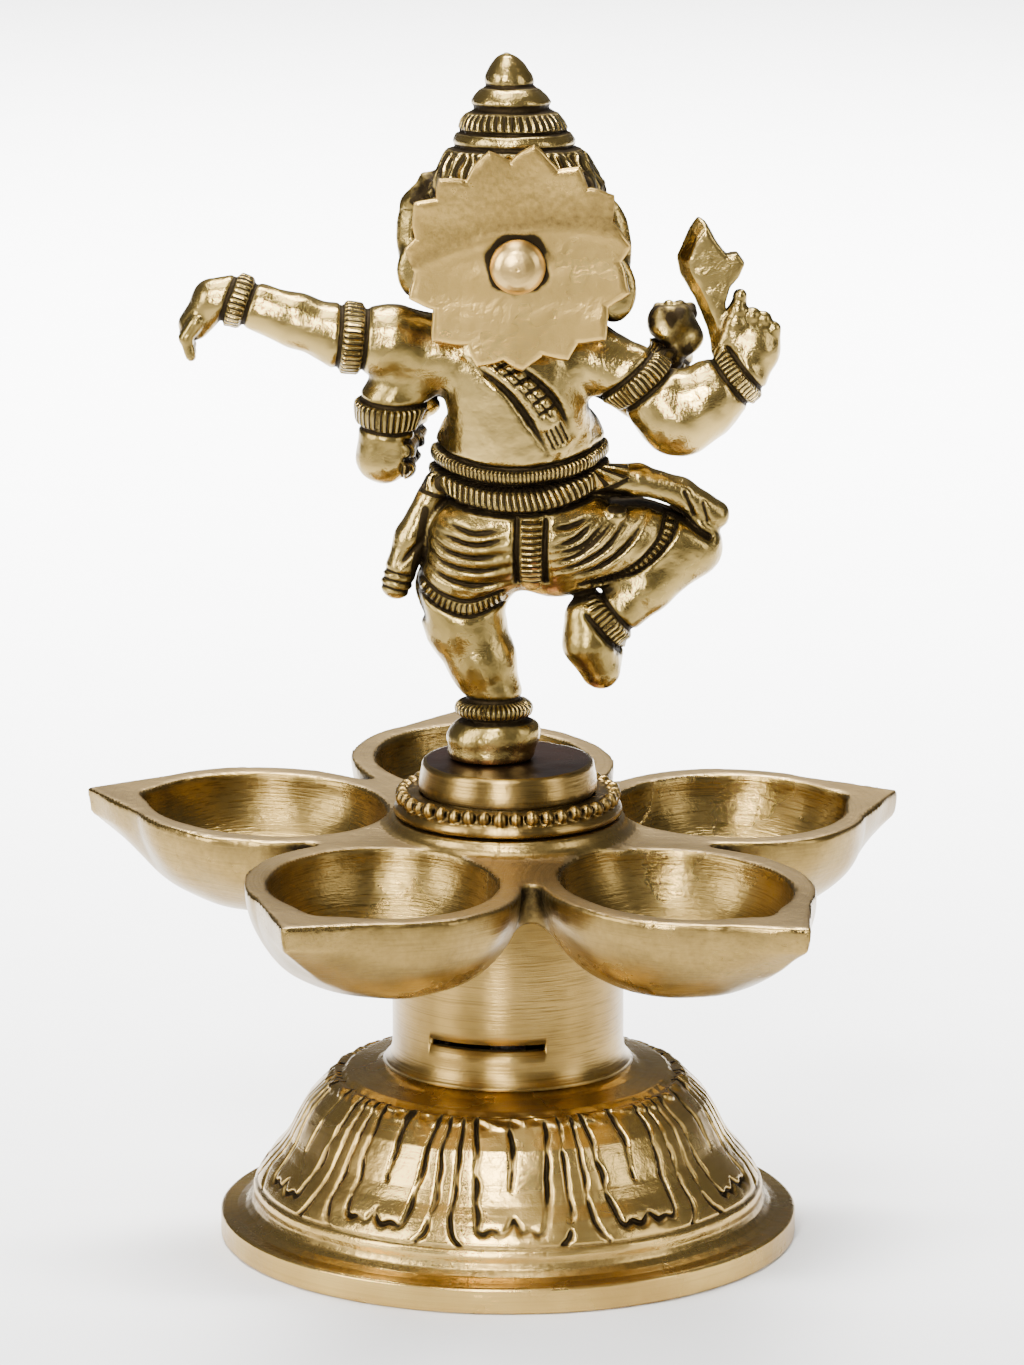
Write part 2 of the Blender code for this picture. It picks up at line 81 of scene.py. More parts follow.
class Clay:
    def __init__(self, low, high, grain):
        self.low = np.array(low, float)
        self.grain = grain
        counts = np.ceil((np.array(high) - self.low) / grain).astype(int) + 1
        self.field = np.full(counts, 8.0, np.float32)
        self.lines = []
        self.ridges = []

    def window(self, low, high):
        """The part of the block between two corners: its slices, and its x, y and z."""
        start = np.floor((np.array(low) - self.low) / self.grain).astype(int).clip(0, self.field.shape)
        stop = np.ceil((np.array(high) - self.low) / self.grain).astype(int).clip(0, self.field.shape) + 1
        stop = np.minimum(stop, self.field.shape)
        axes = [self.low[i] + self.grain * np.arange(start[i], stop[i]) for i in range(3)]
        slices = tuple(slice(a, a + len(b)) for a, b in zip(start, axes))
        return slices, np.meshgrid(*axes, indexing="ij", sparse=True)

    def add(self, low, high, shape, soft=1.0):
        """Melts a shape on: shape(x, y, z) is its distance."""
        where, (x, y, z) = self.window(np.array(low) - soft - 1, np.array(high) + soft + 1)
        self.field[where] = melted(self.field[where], shape(x, y, z), soft)

    def cut(self, low, high, shape, soft=0.5):
        """Takes a shape away."""
        where, (x, y, z) = self.window(np.array(low) - soft - 1, np.array(high) + soft + 1)
        self.field[where] = shared(self.field[where], -shape(x, y, z), soft)

    def emboss(self, low, high, height):
        """Raises the surface by height(x, y, z), or sinks it where that is negative."""
        where, (x, y, z) = self.window(low, high)
        self.field[where] -= height(x, y, z)

    def limb(self, *joints, soft=1.2):
        """A chain of round tapered limbs through (x, y, z, radius) joints."""
        for start, end in zip(joints, joints[1:]):
            ends = np.array([start, end], float)
            low = (ends[:, :3] - ends[:, 3:]).min(0)
            high = (ends[:, :3] + ends[:, 3:]).max(0)
            self.add(low, high, lambda x, y, z: limb_distance(x, y, z, ends[0], ends[1]), soft)

    def oval(self, centre, radii, soft=1.2, turn=(0, 0, 0)):
        """An ellipsoid, turned by degrees about X, Y and Z."""
        spin = np.array(Euler([radians(angle) for angle in turn]).to_matrix())
        reach = np.abs(spin) @ np.array(radii, float)

        def distance(x, y, z):
            local = turned_into(spin, x - centre[0], y - centre[1], z - centre[2])
            one = np.sqrt(sum((part / radius) ** 2 for part, radius in zip(local, radii)))
            two = np.sqrt(sum((part / radius**2) ** 2 for part, radius in zip(local, radii))) + 1e-6
            return one * (one - 1) / two

        self.add(np.array(centre) - reach, np.array(centre) + reach, distance, soft)

    def sample(self, points):
        """The field at loose points, read between the grid's own."""
        place = ((points - self.low) / self.grain).clip(0, np.array(self.field.shape) - 1.001)
        base = place.astype(int)
        share = (place - base).astype(np.float32)
        total = 0
        for corner in np.ndindex(2, 2, 2):
            weight = np.prod(np.where(corner, share, 1 - share), axis=1)
            total = total + weight * self.field[tuple((base + corner).T)]
        return total

    def normals(self, points):
        slopes = []
        for axis in np.eye(3):
            slopes.append(self.sample(points + axis * self.grain) - self.sample(points - axis * self.grain))
        slopes = np.array(slopes).T
        return slopes / (np.linalg.norm(slopes, axis=1, keepdims=True) + 1e-9)


def turned_into(spin, x, y, z):
    return [spin[0, i] * x + spin[1, i] * y + spin[2, i] * z for i in range(3)]


def along(x, y, z, start, end):
    """How far along the line from start to end each point is, from 0 to 1, and how far off it."""
    way = np.array(end[:3], float) - start[:3]
    share = ((x - start[0]) * way[0] + (y - start[1]) * way[1] + (z - start[2]) * way[2]) / (way @ way)
    held = np.clip(share, 0, 1)
    off = np.sqrt(sum((p - start[i] - held * way[i]) ** 2 for i, p in enumerate((x, y, z))))
    return share, off


def limb_distance(x, y, z, start, end):
    share, off = along(x, y, z, start, end)
    return off - (start[3] + np.clip(share, 0, 1) * (end[3] - start[3]))


def path_distance(u, v, path):
    """Distance in a plane from each (u, v) to a line through points."""
    nearest = 1e9
    for (a, b), (c, d) in zip(path, path[1:]):
        length = (c - a) ** 2 + (d - b) ** 2 + 1e-9
        share = np.clip(((u - a) * (c - a) + (v - b) * (d - b)) / length, 0, 1)
        nearest = np.minimum(nearest, np.hypot(u - a - share * (c - a), v - b - share * (d - b)))
    return nearest


def path_place(u, v, path):
    """The distance from a line through points, and how far along the line each (u, v) is."""
    nearest = np.full(np.broadcast(u, v).shape, 1e9)
    run = np.zeros_like(nearest)
    walked = 0.0
    for (a, b), (c, d) in zip(path, path[1:]):
        length = (c - a) ** 2 + (d - b) ** 2 + 1e-9
        share = np.clip(((u - a) * (c - a) + (v - b) * (d - b)) / length, 0, 1)
        off = np.hypot(u - a - share * (c - a), v - b - share * (d - b))
        closer = off < nearest
        nearest = np.where(closer, off, nearest)
        run = np.where(closer, walked + share * length**0.5, run)
        walked += length**0.5
    return nearest, run


def smooth_path(points, steps=6):
    """A curve through a few points."""
    points = np.array(points, float)
    if len(points) < 3:
        return points
    ends = np.vstack([2 * points[0] - points[1], points, 2 * points[-1] - points[-2]])
    curve = []
    for a, b, c, d in zip(ends, ends[1:], ends[2:], ends[3:]):
        for step in range(steps):
            t = step / steps
            square = 2 * a - 5 * b + 4 * c - d
            cube = 3 * b - a - 3 * c + d
            curve.append(0.5 * (2 * b + (c - a) * t + square * t**2 + cube * t**3))
    return np.array(curve + [points[-1]])


def surface_of(clay):
    """Points and four-sided faces where the field crosses zero."""
    field = clay.field
    inside = field < 0
    shape = np.array(field.shape) - 1
    some = np.zeros(shape, bool)
    every = np.ones(shape, bool)
    corners = list(np.ndindex(2, 2, 2))
    for i, j, k in corners:
        part = inside[i : i + shape[0], j : j + shape[1], k : k + shape[2]]
        some |= part
        every &= part
    cells = np.argwhere(some & ~every)
    values = np.array([field[tuple((cells + corner).T)] for corner in corners])
    total = np.zeros((len(cells), 3))
    count = np.zeros(len(cells))
    for a, first in enumerate(corners):
        for b, second in enumerate(corners):
            if sum(second) - sum(first) != 1 or np.abs(np.subtract(second, first)).sum() != 1:
                continue
            crossed = (values[a] < 0) != (values[b] < 0)
            share = np.where(crossed, values[a] / (values[a] - values[b] + 1e-12), 0)
            spot = np.array(first) + share[:, None] * np.subtract(second, first)
            total += spot * crossed[:, None]
            count += crossed
    points = clay.low + clay.grain * (cells + total / count[:, None])
    number = np.full(shape, -1, np.int32)
    number[tuple(cells.T)] = np.arange(len(cells))
    faces = []
    for axis in range(3):
        faces.append(faces_across(inside, number, axis))
    return points, np.vstack(faces)


def faces_across(inside, number, axis):
    """The faces that cross the grid's lines along one axis."""
    first = np.take(inside, range(inside.shape[axis] - 1), axis)
    second = np.take(inside, range(1, inside.shape[axis]), axis)
    lines = np.argwhere(first != second)
    sides = [i for i in range(3) if i != axis]
    kept = (lines[:, sides] > 0).all(1) & (lines[:, sides] < np.array(number.shape)[sides]).all(1)
    lines = lines[kept]
    outward = first[tuple(lines.T)] ^ (axis == 1)
    corners = []
    for a, b in ((0, 0), (1, 0), (1, 1), (0, 1)):
        cell = lines.copy()
        cell[:, sides[0]] -= a
        cell[:, sides[1]] -= b
        corners.append(number[tuple(cell.T)])
    quads = np.array(corners).T
    return np.where(outward[:, None], quads[:, ::-1], quads)


def noise(points, size, seed):
    """Smooth noise from about -1 to 1, with lumps of that size."""
    chance = np.random.default_rng(seed)
    ways = chance.normal(size=(14, 3))
    ways *= (chance.uniform(0.6, 1.7, 14) / np.linalg.norm(ways, axis=1))[:, None] * 2.2 / size
    shift = chance.uniform(0, tau, 14)
    return np.sin(points @ ways.T + shift).sum(1) / 3.7


def hollows(clay, points, reaches=(0.8, 1.6, 3.2)):
    """From 0 on open surfaces to 1 deep in grooves and corners, with the drawn lines darkest."""
    outward = clay.normals(points)
    shut = 0
    for reach in reaches:
        shut = shut + np.clip(1 - clay.sample(points + outward * reach) / reach, 0, 1.3)
    shut = shut / len(reaches)
    for low, high, line in clay.lines:
        near = ((points > low) & (points < high)).all(1)
        shut[near] = np.maximum(shut[near], line(*points[near].T))
    return shut


def ridge_phases(clay, points):
    """How strongly each point is ridged, and how far along the row of ridges it is, in turns."""
    strength = np.zeros(len(points))
    phase = np.zeros(len(points))
    for low, high, place in clay.ridges:
        near = np.flatnonzero(((points > low) & (points < high)).all(1))
        amount, turns = place(*points[near].T)
        wins = amount > strength[near]
        strength[near[wins]] = amount[wins]
        phase[near[wins]] = turns[wins]
    return strength, phase


# Making objects.


def strokes_round(x, y, z):
    """Where a point lies among the marks of a wheel that turned about an upright axis."""
    return np.stack([np.hypot(x, y) * 2.6, z * 2.6, 2.6 * np.sin(np.arctan2(y, x) + 0.6)], -1)


def add_piece(name, points, faces, material, body, hollow, ridges=None, strokes=None):
    """Makes an object from points in millimetres about the lamp's axis, and lets it ride on a body."""
    values = {"cavity": hollow}
    strokes = strokes_round(*points.T) if strokes is None else strokes
    if ridges is not None:
        values["ridged"], values["phase"] = ridges
    mesh = bpy.data.meshes.new(name)
    mesh.vertices.add(len(points))
    mesh.vertices.foreach_set("co", ((points + AXIS) * MM).astype(np.float32).ravel())
    faces = np.asarray(faces, np.int32)
    mesh.loops.add(faces.size)
    mesh.loops.foreach_set("vertex_index", faces.ravel())
    mesh.polygons.add(len(faces))
    mesh.polygons.foreach_set("loop_start", np.arange(0, faces.size, faces.shape[1], dtype=np.int32))
    mesh.update(calc_edges=True)
    mesh.validate()
    for key, value in values.items():
        mesh.attributes.new(key, "FLOAT", "POINT").data.foreach_set("value", value.astype(np.float32))
    marks = mesh.attributes.new("stroke", "FLOAT_VECTOR", "POINT")
    marks.data.foreach_set("vector", strokes.astype(np.float32).ravel())
    mesh.materials.append(material)
    mesh.shade_smooth()
    made = bpy.data.objects.new(name, mesh)
    bpy.context.collection.objects.link(made)
    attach(made, body)
    return made


def clay_piece(name, clay, material, body, roughen=0.0, seed=1):
    points, faces = surface_of(clay)
    hollow = hollows(clay, points)
    ridges = ridge_phases(clay, points)
    if roughen:
        bumps = noise(points, 3.0, seed) + 0.6 * noise(points, 1.3, seed + 1)
        points = points + clay.normals(points) * (roughen * bumps)[:, None]
    return add_piece(name, points, faces, material, body, hollow, ridges)


def revolve(profile, steps, carve=None):
    """Points, faces and hollows of a solid turned about Z from a closed (radius, height) section.
    carve(angle, radius, height) gives the depth cut at each place and how hollow it is."""
    profile = np.array(profile, float)
    angle = tau * np.arange(steps) / steps
    radius = np.repeat(profile[:, :1], steps, 1)
    height = np.repeat(profile[:, 1:2], steps, 1)
    angle = np.repeat(angle[None], len(profile), 0)
    hollow = np.zeros_like(radius)
    if carve:
        depth, hollow = carve(angle, radius, height)
        radius = radius - depth
    points = np.stack([radius * np.cos(angle), radius * np.sin(angle), height], -1).reshape(-1, 3)
    row = np.arange(len(profile))[:, None] * steps
    step = np.arange(steps)[None]
    after = (step + 1) % steps
    below = np.roll(row, -1)
    faces = np.stack([row + step, below + step, below + after, row + after], -1).reshape(-1, 4)
    return points, faces, hollow.ravel()


def fine(profile, spacing):
    """More points along a section, so that it can be carved."""
    profile = np.array(profile, float)
    made = []
    for start, end in zip(profile, profile[1:]):
        count = max(1, int(np.hypot(*(end - start)) / spacing))
        made += [start + (end - start) * i / count for i in range(count)]
    return np.array(made + [profile[-1]])


# Materials.


class Nodes:
    """Short ways to build a material's node tree."""

    def __init__(self, name):
        self.material = bpy.data.materials.new(name)
        self.material.use_nodes = True
        self.tree = self.material.node_tree
        self.shader = self.tree.nodes["Principled BSDF"]

    def node(self, kind, **settings):
        made = self.tree.nodes.new(kind)
        for key, value in settings.items():
            setattr(made, key, value)
        return made

    def link(self, source, target):
        self.tree.links.new(source, target)

    def number(self, operation, first, second, clamp=False):
        made = self.node("ShaderNodeMath", operation=operation, use_clamp=clamp)
        for socket, value in zip(made.inputs, (first, second)):
            if isinstance(value, (int, float)):
                socket.default_value = value
            else:
                self.link(value, socket)
        return made.outputs[0]

    def ramp(self, value, low, high, start=0.0, end=1.0):
        made = self.node("ShaderNodeMapRange", clamp=True)
        self.link(value, made.inputs["Value"])
        for key, number in zip(("From Min", "From Max", "To Min", "To Max"), (low, high, start, end)):
            made.inputs[key].default_value = number
        return made.outputs["Result"]

    def mix(self, share, first, second):
        made = self.node("ShaderNodeMix", data_type="RGBA")
        self.link(share, made.inputs["Factor"])
        for socket, value in zip((made.inputs[6], made.inputs[7]), (first, second)):
            if isinstance(value, tuple):
                socket.default_value = (*value, 1)
            else:
                self.link(value, socket)
        return made.outputs[2]

    def attribute(self, name, output="Fac"):
        return self.node("ShaderNodeAttribute", attribute_name=name).outputs[output]

    def place(self, scale=(1, 1, 1)):
        coordinates = self.node("ShaderNodeTexCoord")
        mapping = self.node("ShaderNodeMapping")
        mapping.inputs["Scale"].default_value = scale
        self.link(coordinates.outputs["Object"], mapping.inputs["Vector"])
        return mapping.outputs["Vector"]

    def noise(self, vector, scale, detail=3.0, rough=0.55):
        made = self.node("ShaderNodeTexNoise")
        self.link(vector, made.inputs["Vector"])
        made.inputs["Scale"].default_value = scale
        made.inputs["Detail"].default_value = detail
        made.inputs["Roughness"].default_value = rough
        return made.outputs["Fac"]

    def bump(self, *layers):
        """Bumps on bumps: each layer is a height, a strength and a depth in metres."""
        normal = None
        for height, strength, depth in layers:
            made = self.node("ShaderNodeBump")
            made.inputs["Strength"].default_value = strength
            made.inputs["Distance"].default_value = depth
            self.link(height, made.inputs["Height"])
            if normal:
                self.link(normal, made.inputs["Normal"])
            normal = made.outputs["Normal"]
        self.link(normal, self.shader.inputs["Normal"])


DARK = (0.022, 0.015, 0.007)


def brass(name, bright, dull, smooth, patina_and_shade, pits, strokes=0.0, shine=0.0, ridged=False, bent=False):
    """Brass: bright where rubbed, duller in clouds, dark in its grooves, marked by the wheel's strokes.
    The pair after smooth is how hollow a place is where the darkening starts and where it covers. The
    cavity values hold patina in grooves and, on some pieces, painted shade. shine is how far the strokes
    stretch a highlight."""
    nodes = Nodes(name)
    place = nodes.place()
    clouds = nodes.noise(place, 55, 4.0)
    specks = nodes.noise(place, 900, 2.0, 0.6)
    hairs = nodes.noise(nodes.attribute("stroke", "Vector"), 1.0, 3.0, 0.6)
    colour = nodes.mix(nodes.ramp(clouds, 0.36, 0.66), bright, dull)
    scratched = nodes.number("MULTIPLY", nodes.ramp(hairs, 0.5, 0.72), strokes)
    colour = nodes.mix(scratched, colour, tuple(0.6 * part for part in dull))
    speckle = nodes.number("MULTIPLY", nodes.number("SUBTRACT", specks, 0.5), 0.35)
    broken = nodes.number("ADD", nodes.attribute("cavity"), speckle)
    ridge = None
    if ridged:
        strength = nodes.attribute("ridged")
        wave = nodes.number("COSINE", nodes.number("MULTIPLY", nodes.attribute("phase"), tau), 0.0)
        ridge = nodes.number("MULTIPLY", strength, wave)
        between = nodes.number("MULTIPLY", strength, nodes.ramp(wave, -0.3, -0.85))
        broken = nodes.number("MAXIMUM", broken, nodes.number("MULTIPLY", between, 0.75))
    # Darkening towards DARK by the cavity values: patina in grooves, and painted shade where a piece has
    # put shade into them.
    darkening = nodes.ramp(broken, *patina_and_shade)
    edge = nodes.ramp(broken, patina_and_shade[0] - 0.2, patina_and_shade[0] + 0.1)
    colour = nodes.mix(nodes.number("MULTIPLY", edge, 0.5), colour, tuple(0.4 * part for part in dull))
    colour = nodes.mix(darkening, colour, DARK)
    nodes.link(colour, nodes.shader.inputs["Base Color"])
    nodes.shader.inputs["Metallic"].default_value = 1.0
    nodes.shader.inputs["Anisotropic"].default_value = shine
    nodes.shader.inputs["Anisotropic Rotation"].default_value = 0.25
    rough = nodes.ramp(clouds, 0.3, 0.7, smooth, smooth + 0.09)
    rough = nodes.number("ADD", rough, nodes.number("MULTIPLY", darkening, 0.38))
    nodes.link(rough, nodes.shader.inputs["Roughness"])
    if shine:
        tangent = nodes.node("ShaderNodeTangent", direction_type="RADIAL", axis="Z")
        nodes.link(tangent.outputs[0], nodes.shader.inputs["Tangent"])
    pitting = nodes.ramp(nodes.noise(place, 620, 3.0, 0.65), 0.30, 0.62)
    layers = [(nodes.noise(place, 190, 3.0), 0.35 * pits, 0.0009), (pitting, 0.5 * pits, 0.00022)]
    if strokes:
        layers.append((hairs, strokes, 0.00012))
    if ridged:
        layers.append((ridge, 1.0, 0.00024))
    if bent:
        layers.append((nodes.attribute("bend"), 1.0, 0.001))
    nodes.bump(*layers)
    return nodes.material


def zinc(name):
    nodes = Nodes(name)
    place = nodes.place()
    clouds = nodes.noise(place, 300, 3.0)
    colour = nodes.mix(nodes.ramp(clouds, 0.35, 0.65), (0.60, 0.61, 0.63), (0.42, 0.42, 0.44))
    nodes.link(colour, nodes.shader.inputs["Base Color"])
    nodes.shader.inputs["Metallic"].default_value = 1.0
    nodes.link(nodes.ramp(clouds, 0.3, 0.7, 0.28, 0.45), nodes.shader.inputs["Roughness"])
    nodes.bump((nodes.noise(place, 1500, 2.0), 0.3, 0.0001))
    return nodes.material


# The figure.

BACK_Y = -18
FRONT_Y = 27


def ridged_band(clay, start, end, at, half, height, ridges, groove=0.5, reach=9.0):
    """A raised ring round the limb from start to end, ridged along it, with a groove on either side."""
    start = np.array(start[:3], float)
    end = np.array(end[:3], float)
    length = np.linalg.norm(end - start)
    way = (end - start) / length
    side = np.cross(way, (0.3, 1.0, 0.2))
    side /= np.linalg.norm(side)
    other = np.cross(way, side)
    middle = start + way * length * at

    def local(x, y, z):
        off = [x - middle[0], y - middle[1], z - middle[2]]
        return [sum(o * w for o, w in zip(off, axis)) for axis in (way, side, other)]

    def band(x, y, z):
        run, u, v = local(x, y, z)
        near = np.clip(reach - np.hypot(u, v), 0, 1)
        raised = np.clip((half - np.abs(run)) / 0.35 + 0.5, 0, 1)
        return near * (height * raised - groove * np.exp(-(((np.abs(run) - half - 0.5) / 0.45) ** 2)))

    def edges(x, y, z):
        run, u, v = local(x, y, z)
        return np.clip(reach - np.hypot(u, v), 0, 1) * np.exp(-(((np.abs(run) - half - 0.5) / 0.42) ** 2))

    def ridged(x, y, z):
        run, u, v = local(x, y, z)
        near = np.clip(reach - np.hypot(u, v), 0, 1)
        return near * np.clip((half - np.abs(run)) / 0.4 + 0.4, 0, 1), np.arctan2(u, -v) * ridges / tau

    low = middle - reach - half
    high = middle + reach + half
    clay.emboss(low, high, band)
    clay.lines.append((low, high, edges))
    clay.ridges.append((low, high, ridged))


def ridge_row(clay, path, half, pitch, low_y, high_y, height=0.0):
    """Ridges across a line of (x, z) points, on the surface between two depths in Y."""
    curve = smooth_path(path)
    low, high = box_round(curve, half + 1, low_y, high_y)

    def ridged(x, y, z):
        off, run = path_place(x, z, curve)
        return np.clip((half - off) / 0.35 + 0.4, 0, 1), run / pitch

    if height:
        clay.emboss(low, high, lambda x, y, z: height * ridged(x, y, z)[0] + 0 * y)
    clay.ridges.append((low, high, ridged))


def box_round(curve, spare, low_y, high_y):
    """Two corners of the space round a curve of (x, z) points, between two depths in Y."""
    low = curve.min(0) - spare
    high = curve.max(0) + spare
    return (low[0], low_y, low[1]), (high[0], high_y, high[1])


def engrave(clay, box, depth, line, darkening):
    """Sinks a line into the surface, or raises it where its depth is negative, and blackens a groove."""
    clay.emboss(*box, lambda x, y, z: -depth * line(x, y, z))
    if depth > 0:
        clay.lines.append((*box, lambda x, y, z: darkening * line(x, y, z)))


def score(clay, path, depth, width, behind=0.0, taper=True):
    """A line on the back through (x, z) points."""
    curve = smooth_path(path)
    middle = (curve[0] + curve[-1]) / 2
    span = np.linalg.norm(curve[-1] - curve[0]) / 2 + 0.5

    def line(x, y, z):
        off = path_distance(x, z, curve)
        fade = 1.0
        if taper:
            fade = np.clip(1.5 * (1 - np.hypot(x - middle[0], z - middle[1]) / span), 0.25, 1)
        return fade * np.exp(-((off / width) ** 2)) + 0 * y

    engrave(clay, box_round(curve, 3 * width, BACK_Y, behind), depth, line, min(1.0, 0.45 + 0.6 * depth))


def front_score(clay, path, depth, width, ahead=0.0):
    """The same on the front."""
    curve = smooth_path(path)

    def line(x, y, z):
        return np.exp(-((path_distance(x, z, curve) / width) ** 2)) + 0 * y

    engrave(clay, box_round(curve, 3 * width, ahead, FRONT_Y), depth, line, 0.8)


def model_body(clay):
    clay.limb((0.8, 2, 157, 7.5), (0.8, 0.5, 148, 9.0), soft=3)
    clay.oval((0.3, 0.0, 149.3), (17.5, 7.0, 6.6), soft=4)
    clay.oval((1.7, -0.2, 141), (11.6, 8.4, 13), soft=4)
    clay.oval((2.2, 5.8, 132), (14.4, 12.6, 12.3), soft=3)
    clay.oval((3.6, 0.5, 119.6), (17.0, 10.6, 8.6), soft=2.5)


def model_legs(clay):
    clay.limb((-4.5, 1, 117, 9.5), (-8.1, 1, 110, 7.2), (-7.2, 0.5, 104.6, 6.5), soft=2)
    shin = [(-7.2, 0.5, 104.6, 6.5), (-4.4, 0, 98.4, 5.6), (-2.3, -0.3, 92.5, 4.3), (-1.9, -0.5, 86.5, 4.5)]
    clay.limb(*shin, soft=1.5)
    clay.oval((-2.3, -0.3, 90.3), (6.3, 5.9, 2.0), soft=0.8)
    clay.oval((-2.6, 0.8, 84.9), (7.7, 6.4, 3.9), soft=1)
    clay.oval((-1.7, 0.4, 86.4), (7.0, 5.7, 3.4), soft=1.2)
    clay.oval((-2.8, 0.8, 82.4), (7.2, 6.3, 3.0), soft=1.2)
    clay.oval((-3.4, 7.5, 83.4), (6.6, 8.0, 3.2), soft=2)
    for number in range(5):
        clay.oval((-7.8 + 2.4 * number, 13.2 - 0.25 * (number - 1) ** 2, 82.6), (1.25, 2.0, 1.4), soft=0.5)
    clay.limb((8, 1, 117.5, 8.6), (20.2, 3.5, 117.8, 7.0), (29.8, 5.5, 116.7, 5.6), soft=2)
    clay.limb((29.8, 5.5, 116.5, 5.4), (22.5, 2.5, 110.8, 5.0), (17.4, 0.5, 105.8, 4.2), soft=1.2)
    clay.limb((13.2, 0.0, 105.6, 3.9), (13.4, -0.6, 101.4, 4.2), (15.4, -0.2, 96.6, 3.2), soft=1.2)
    clay.oval((15.2, 2.4, 99.0), (3.9, 4.0, 5.4), soft=1.5)


def model_arms(clay):
    upper = [(-12, 0, 150.6, 6), (-19, -1, 152.2, 5.7), (-26.7, -1.5, 153.0, 5.0), (-34.5, -1, 155.6, 4.3)]
    clay.limb(*upper, soft=2)
    clay.limb((-34.5, -1, 155.6, 4.3), (-44.6, 0, 159.0, 3.8), (-48.2, 0, 158.9, 3.5), soft=1.2)
    clay.limb((-48.2, 0, 158.9, 3.3), (-51.4, 0.5, 154.8, 2.7), soft=1.2)
    for number, drop in enumerate((0.4, 0, 0.3, 1.2)):
        y = -2.2 + 1.7 * number
        clay.limb((-51.0, y, 155.6, 1.3), (-52.8, y, 153.0, 1.05), (-52.0, y, 149.6 + drop, 0.85), soft=0.5)
    clay.limb((-14.5, 1, 149.2, 5.8), (-19.7, 0, 141, 4.7), (-20.5, 1, 132.6, 4.4), soft=2)
    clay.limb((-20.5, 1, 132.6, 4.3), (-18.5, 12, 133.6, 3.6), (-16.5, 17, 135.6, 3.2), soft=1.2)
    clay.oval((-15.0, 19.6, 137.2), (3.8, 3.0, 2.2), soft=0.8)
    clay.oval((-14.8, 19.8, 140.0), (2.7, 2.6, 2.8), soft=0.4)
    upper = [(12, 0, 150, 6), (21.0, -1.5, 146.2, 5.0), (26.8, -1.5, 141.0, 6.3), (28.2, -1.5, 139.8, 6.4)]
    clay.limb(*upper, soft=1.5)
    clay.limb((28.2, -1.5, 139.8, 6.4), (32.0, -1.5, 142.2, 6.1), (37.9, -1.5, 146.7, 4.7), soft=1.2)
    clay.oval((40.0, -1.0, 151.0), (4.7, 3.6, 5.4), soft=1.2, turn=(0, 10, 0))
    clay.limb((36.4, -1.0, 151.6, 3.0), (37.2, -1.6, 155.4, 2.4), soft=1)
    knuckles = [(37.6, 157.6, 1.7), (40.0, 156.6, 1.45), (42.0, 156.1, 1.3), (43.6, 154.6, 1.2)]
    for x, z, radius in (*knuckles, (38.0, 160.0, 1.2)):
        clay.limb((x - 0.2, -1.0, z - 2.2, radius), (x, -2.0, z, radius), soft=0.4)
    clay.limb((13, 4, 149, 5.5), (22.3, 8.5, 141.5, 4.2), (27.0, 9.0, 147.4, 3.7), soft=2)
    clay.oval((27.2, 8.0, 153.0), (4.5, 3.6, 3.7), soft=1.0, turn=(0, 25, 0))
    clay.oval((29.6, 7.0, 151.4), (2.4, 2.4, 2.6), soft=0.8)
    clay.emboss((21, -2, 147), (34, 14, 159), knob_lumps)
    clay.limb((27.6, 5.5, 148.6, 1.9), (25.6, 4.5, 147.6, 1.7), soft=1)
    for number in range(4):
        x = 24.8 + 1.8 * number
        clay.limb((x, 10.4, 154.6, 1.2), (x, 11.4, 156.0 - 0.4 * abs(number - 1.5), 1.0), soft=0.4)


AXE = [(31.1, 172.9), (32.3, 172.0), (33.9, 169.2), (35.7, 166.8), (37.5, 167.1), (38.8, 165.3)]
AXE += [(37.8, 163.2), (36.3, 161.4), (35.6, 158.5), (36.0, 154.5), (33.2, 152.8), (32.0, 156.0)]
AXE += [(30.6, 159.4), (28.3, 163.2), (27.6, 166.2), (29.6, 170.9)]


def within(x, z, outline):
    """Distance in a plane from an outline, negative inside it."""
    off = path_distance(x, z, outline + outline[:1])
    crossings = 0
    for (a, b), (c, d) in zip(outline, outline[1:] + outline[:1]):
        passed = (z < b) != (z < d)
        crossings = crossings + (passed & (x < a + (z - b) * (c - a) / (d - b + 1e-9)))
    return np.where(crossings % 2 == 1, -off, off)


def axe_plate(x, y, z):
    """The axe: a flat plate with a rounded top, a lobe behind and its cutting edge bevelled."""
    bevel = np.clip(1.9 - path_distance(x, z, AXE[10:] + AXE[:1]), 0, 1.9)
    return np.maximum(within(x, z, AXE), np.maximum(-2.7 + 1.15 * bevel - y, y - 0.5))


def model_axe(clay):
    clay.add((26, -4, 152), (41, 2, 174), axe_plate, soft=0.5)
    clay.limb((34.4, -0.5, 154, 1.5), (35.6, -0.5, 148.5, 1.5), soft=0.6)


CROWN_LEAN = radians(-5)
CROWN_FOOT = np.array([1.2, -0.2, 183.2])


def crown_place(x, y, z):
    """Distance out from the crown's leaning axis, height up it, and the angle round it."""
    across = x - CROWN_FOOT[0] + 0.085 * (z - CROWN_FOOT[2])
    away = (y - CROWN_FOOT[1]) * cos(CROWN_LEAN) + (z - CROWN_FOOT[2]) * sin(CROWN_LEAN)
    up = (z - CROWN_FOOT[2]) * cos(CROWN_LEAN) - (y - CROWN_FOOT[1]) * sin(CROWN_LEAN)
    return np.hypot(across, away), up, np.arctan2(away, across)


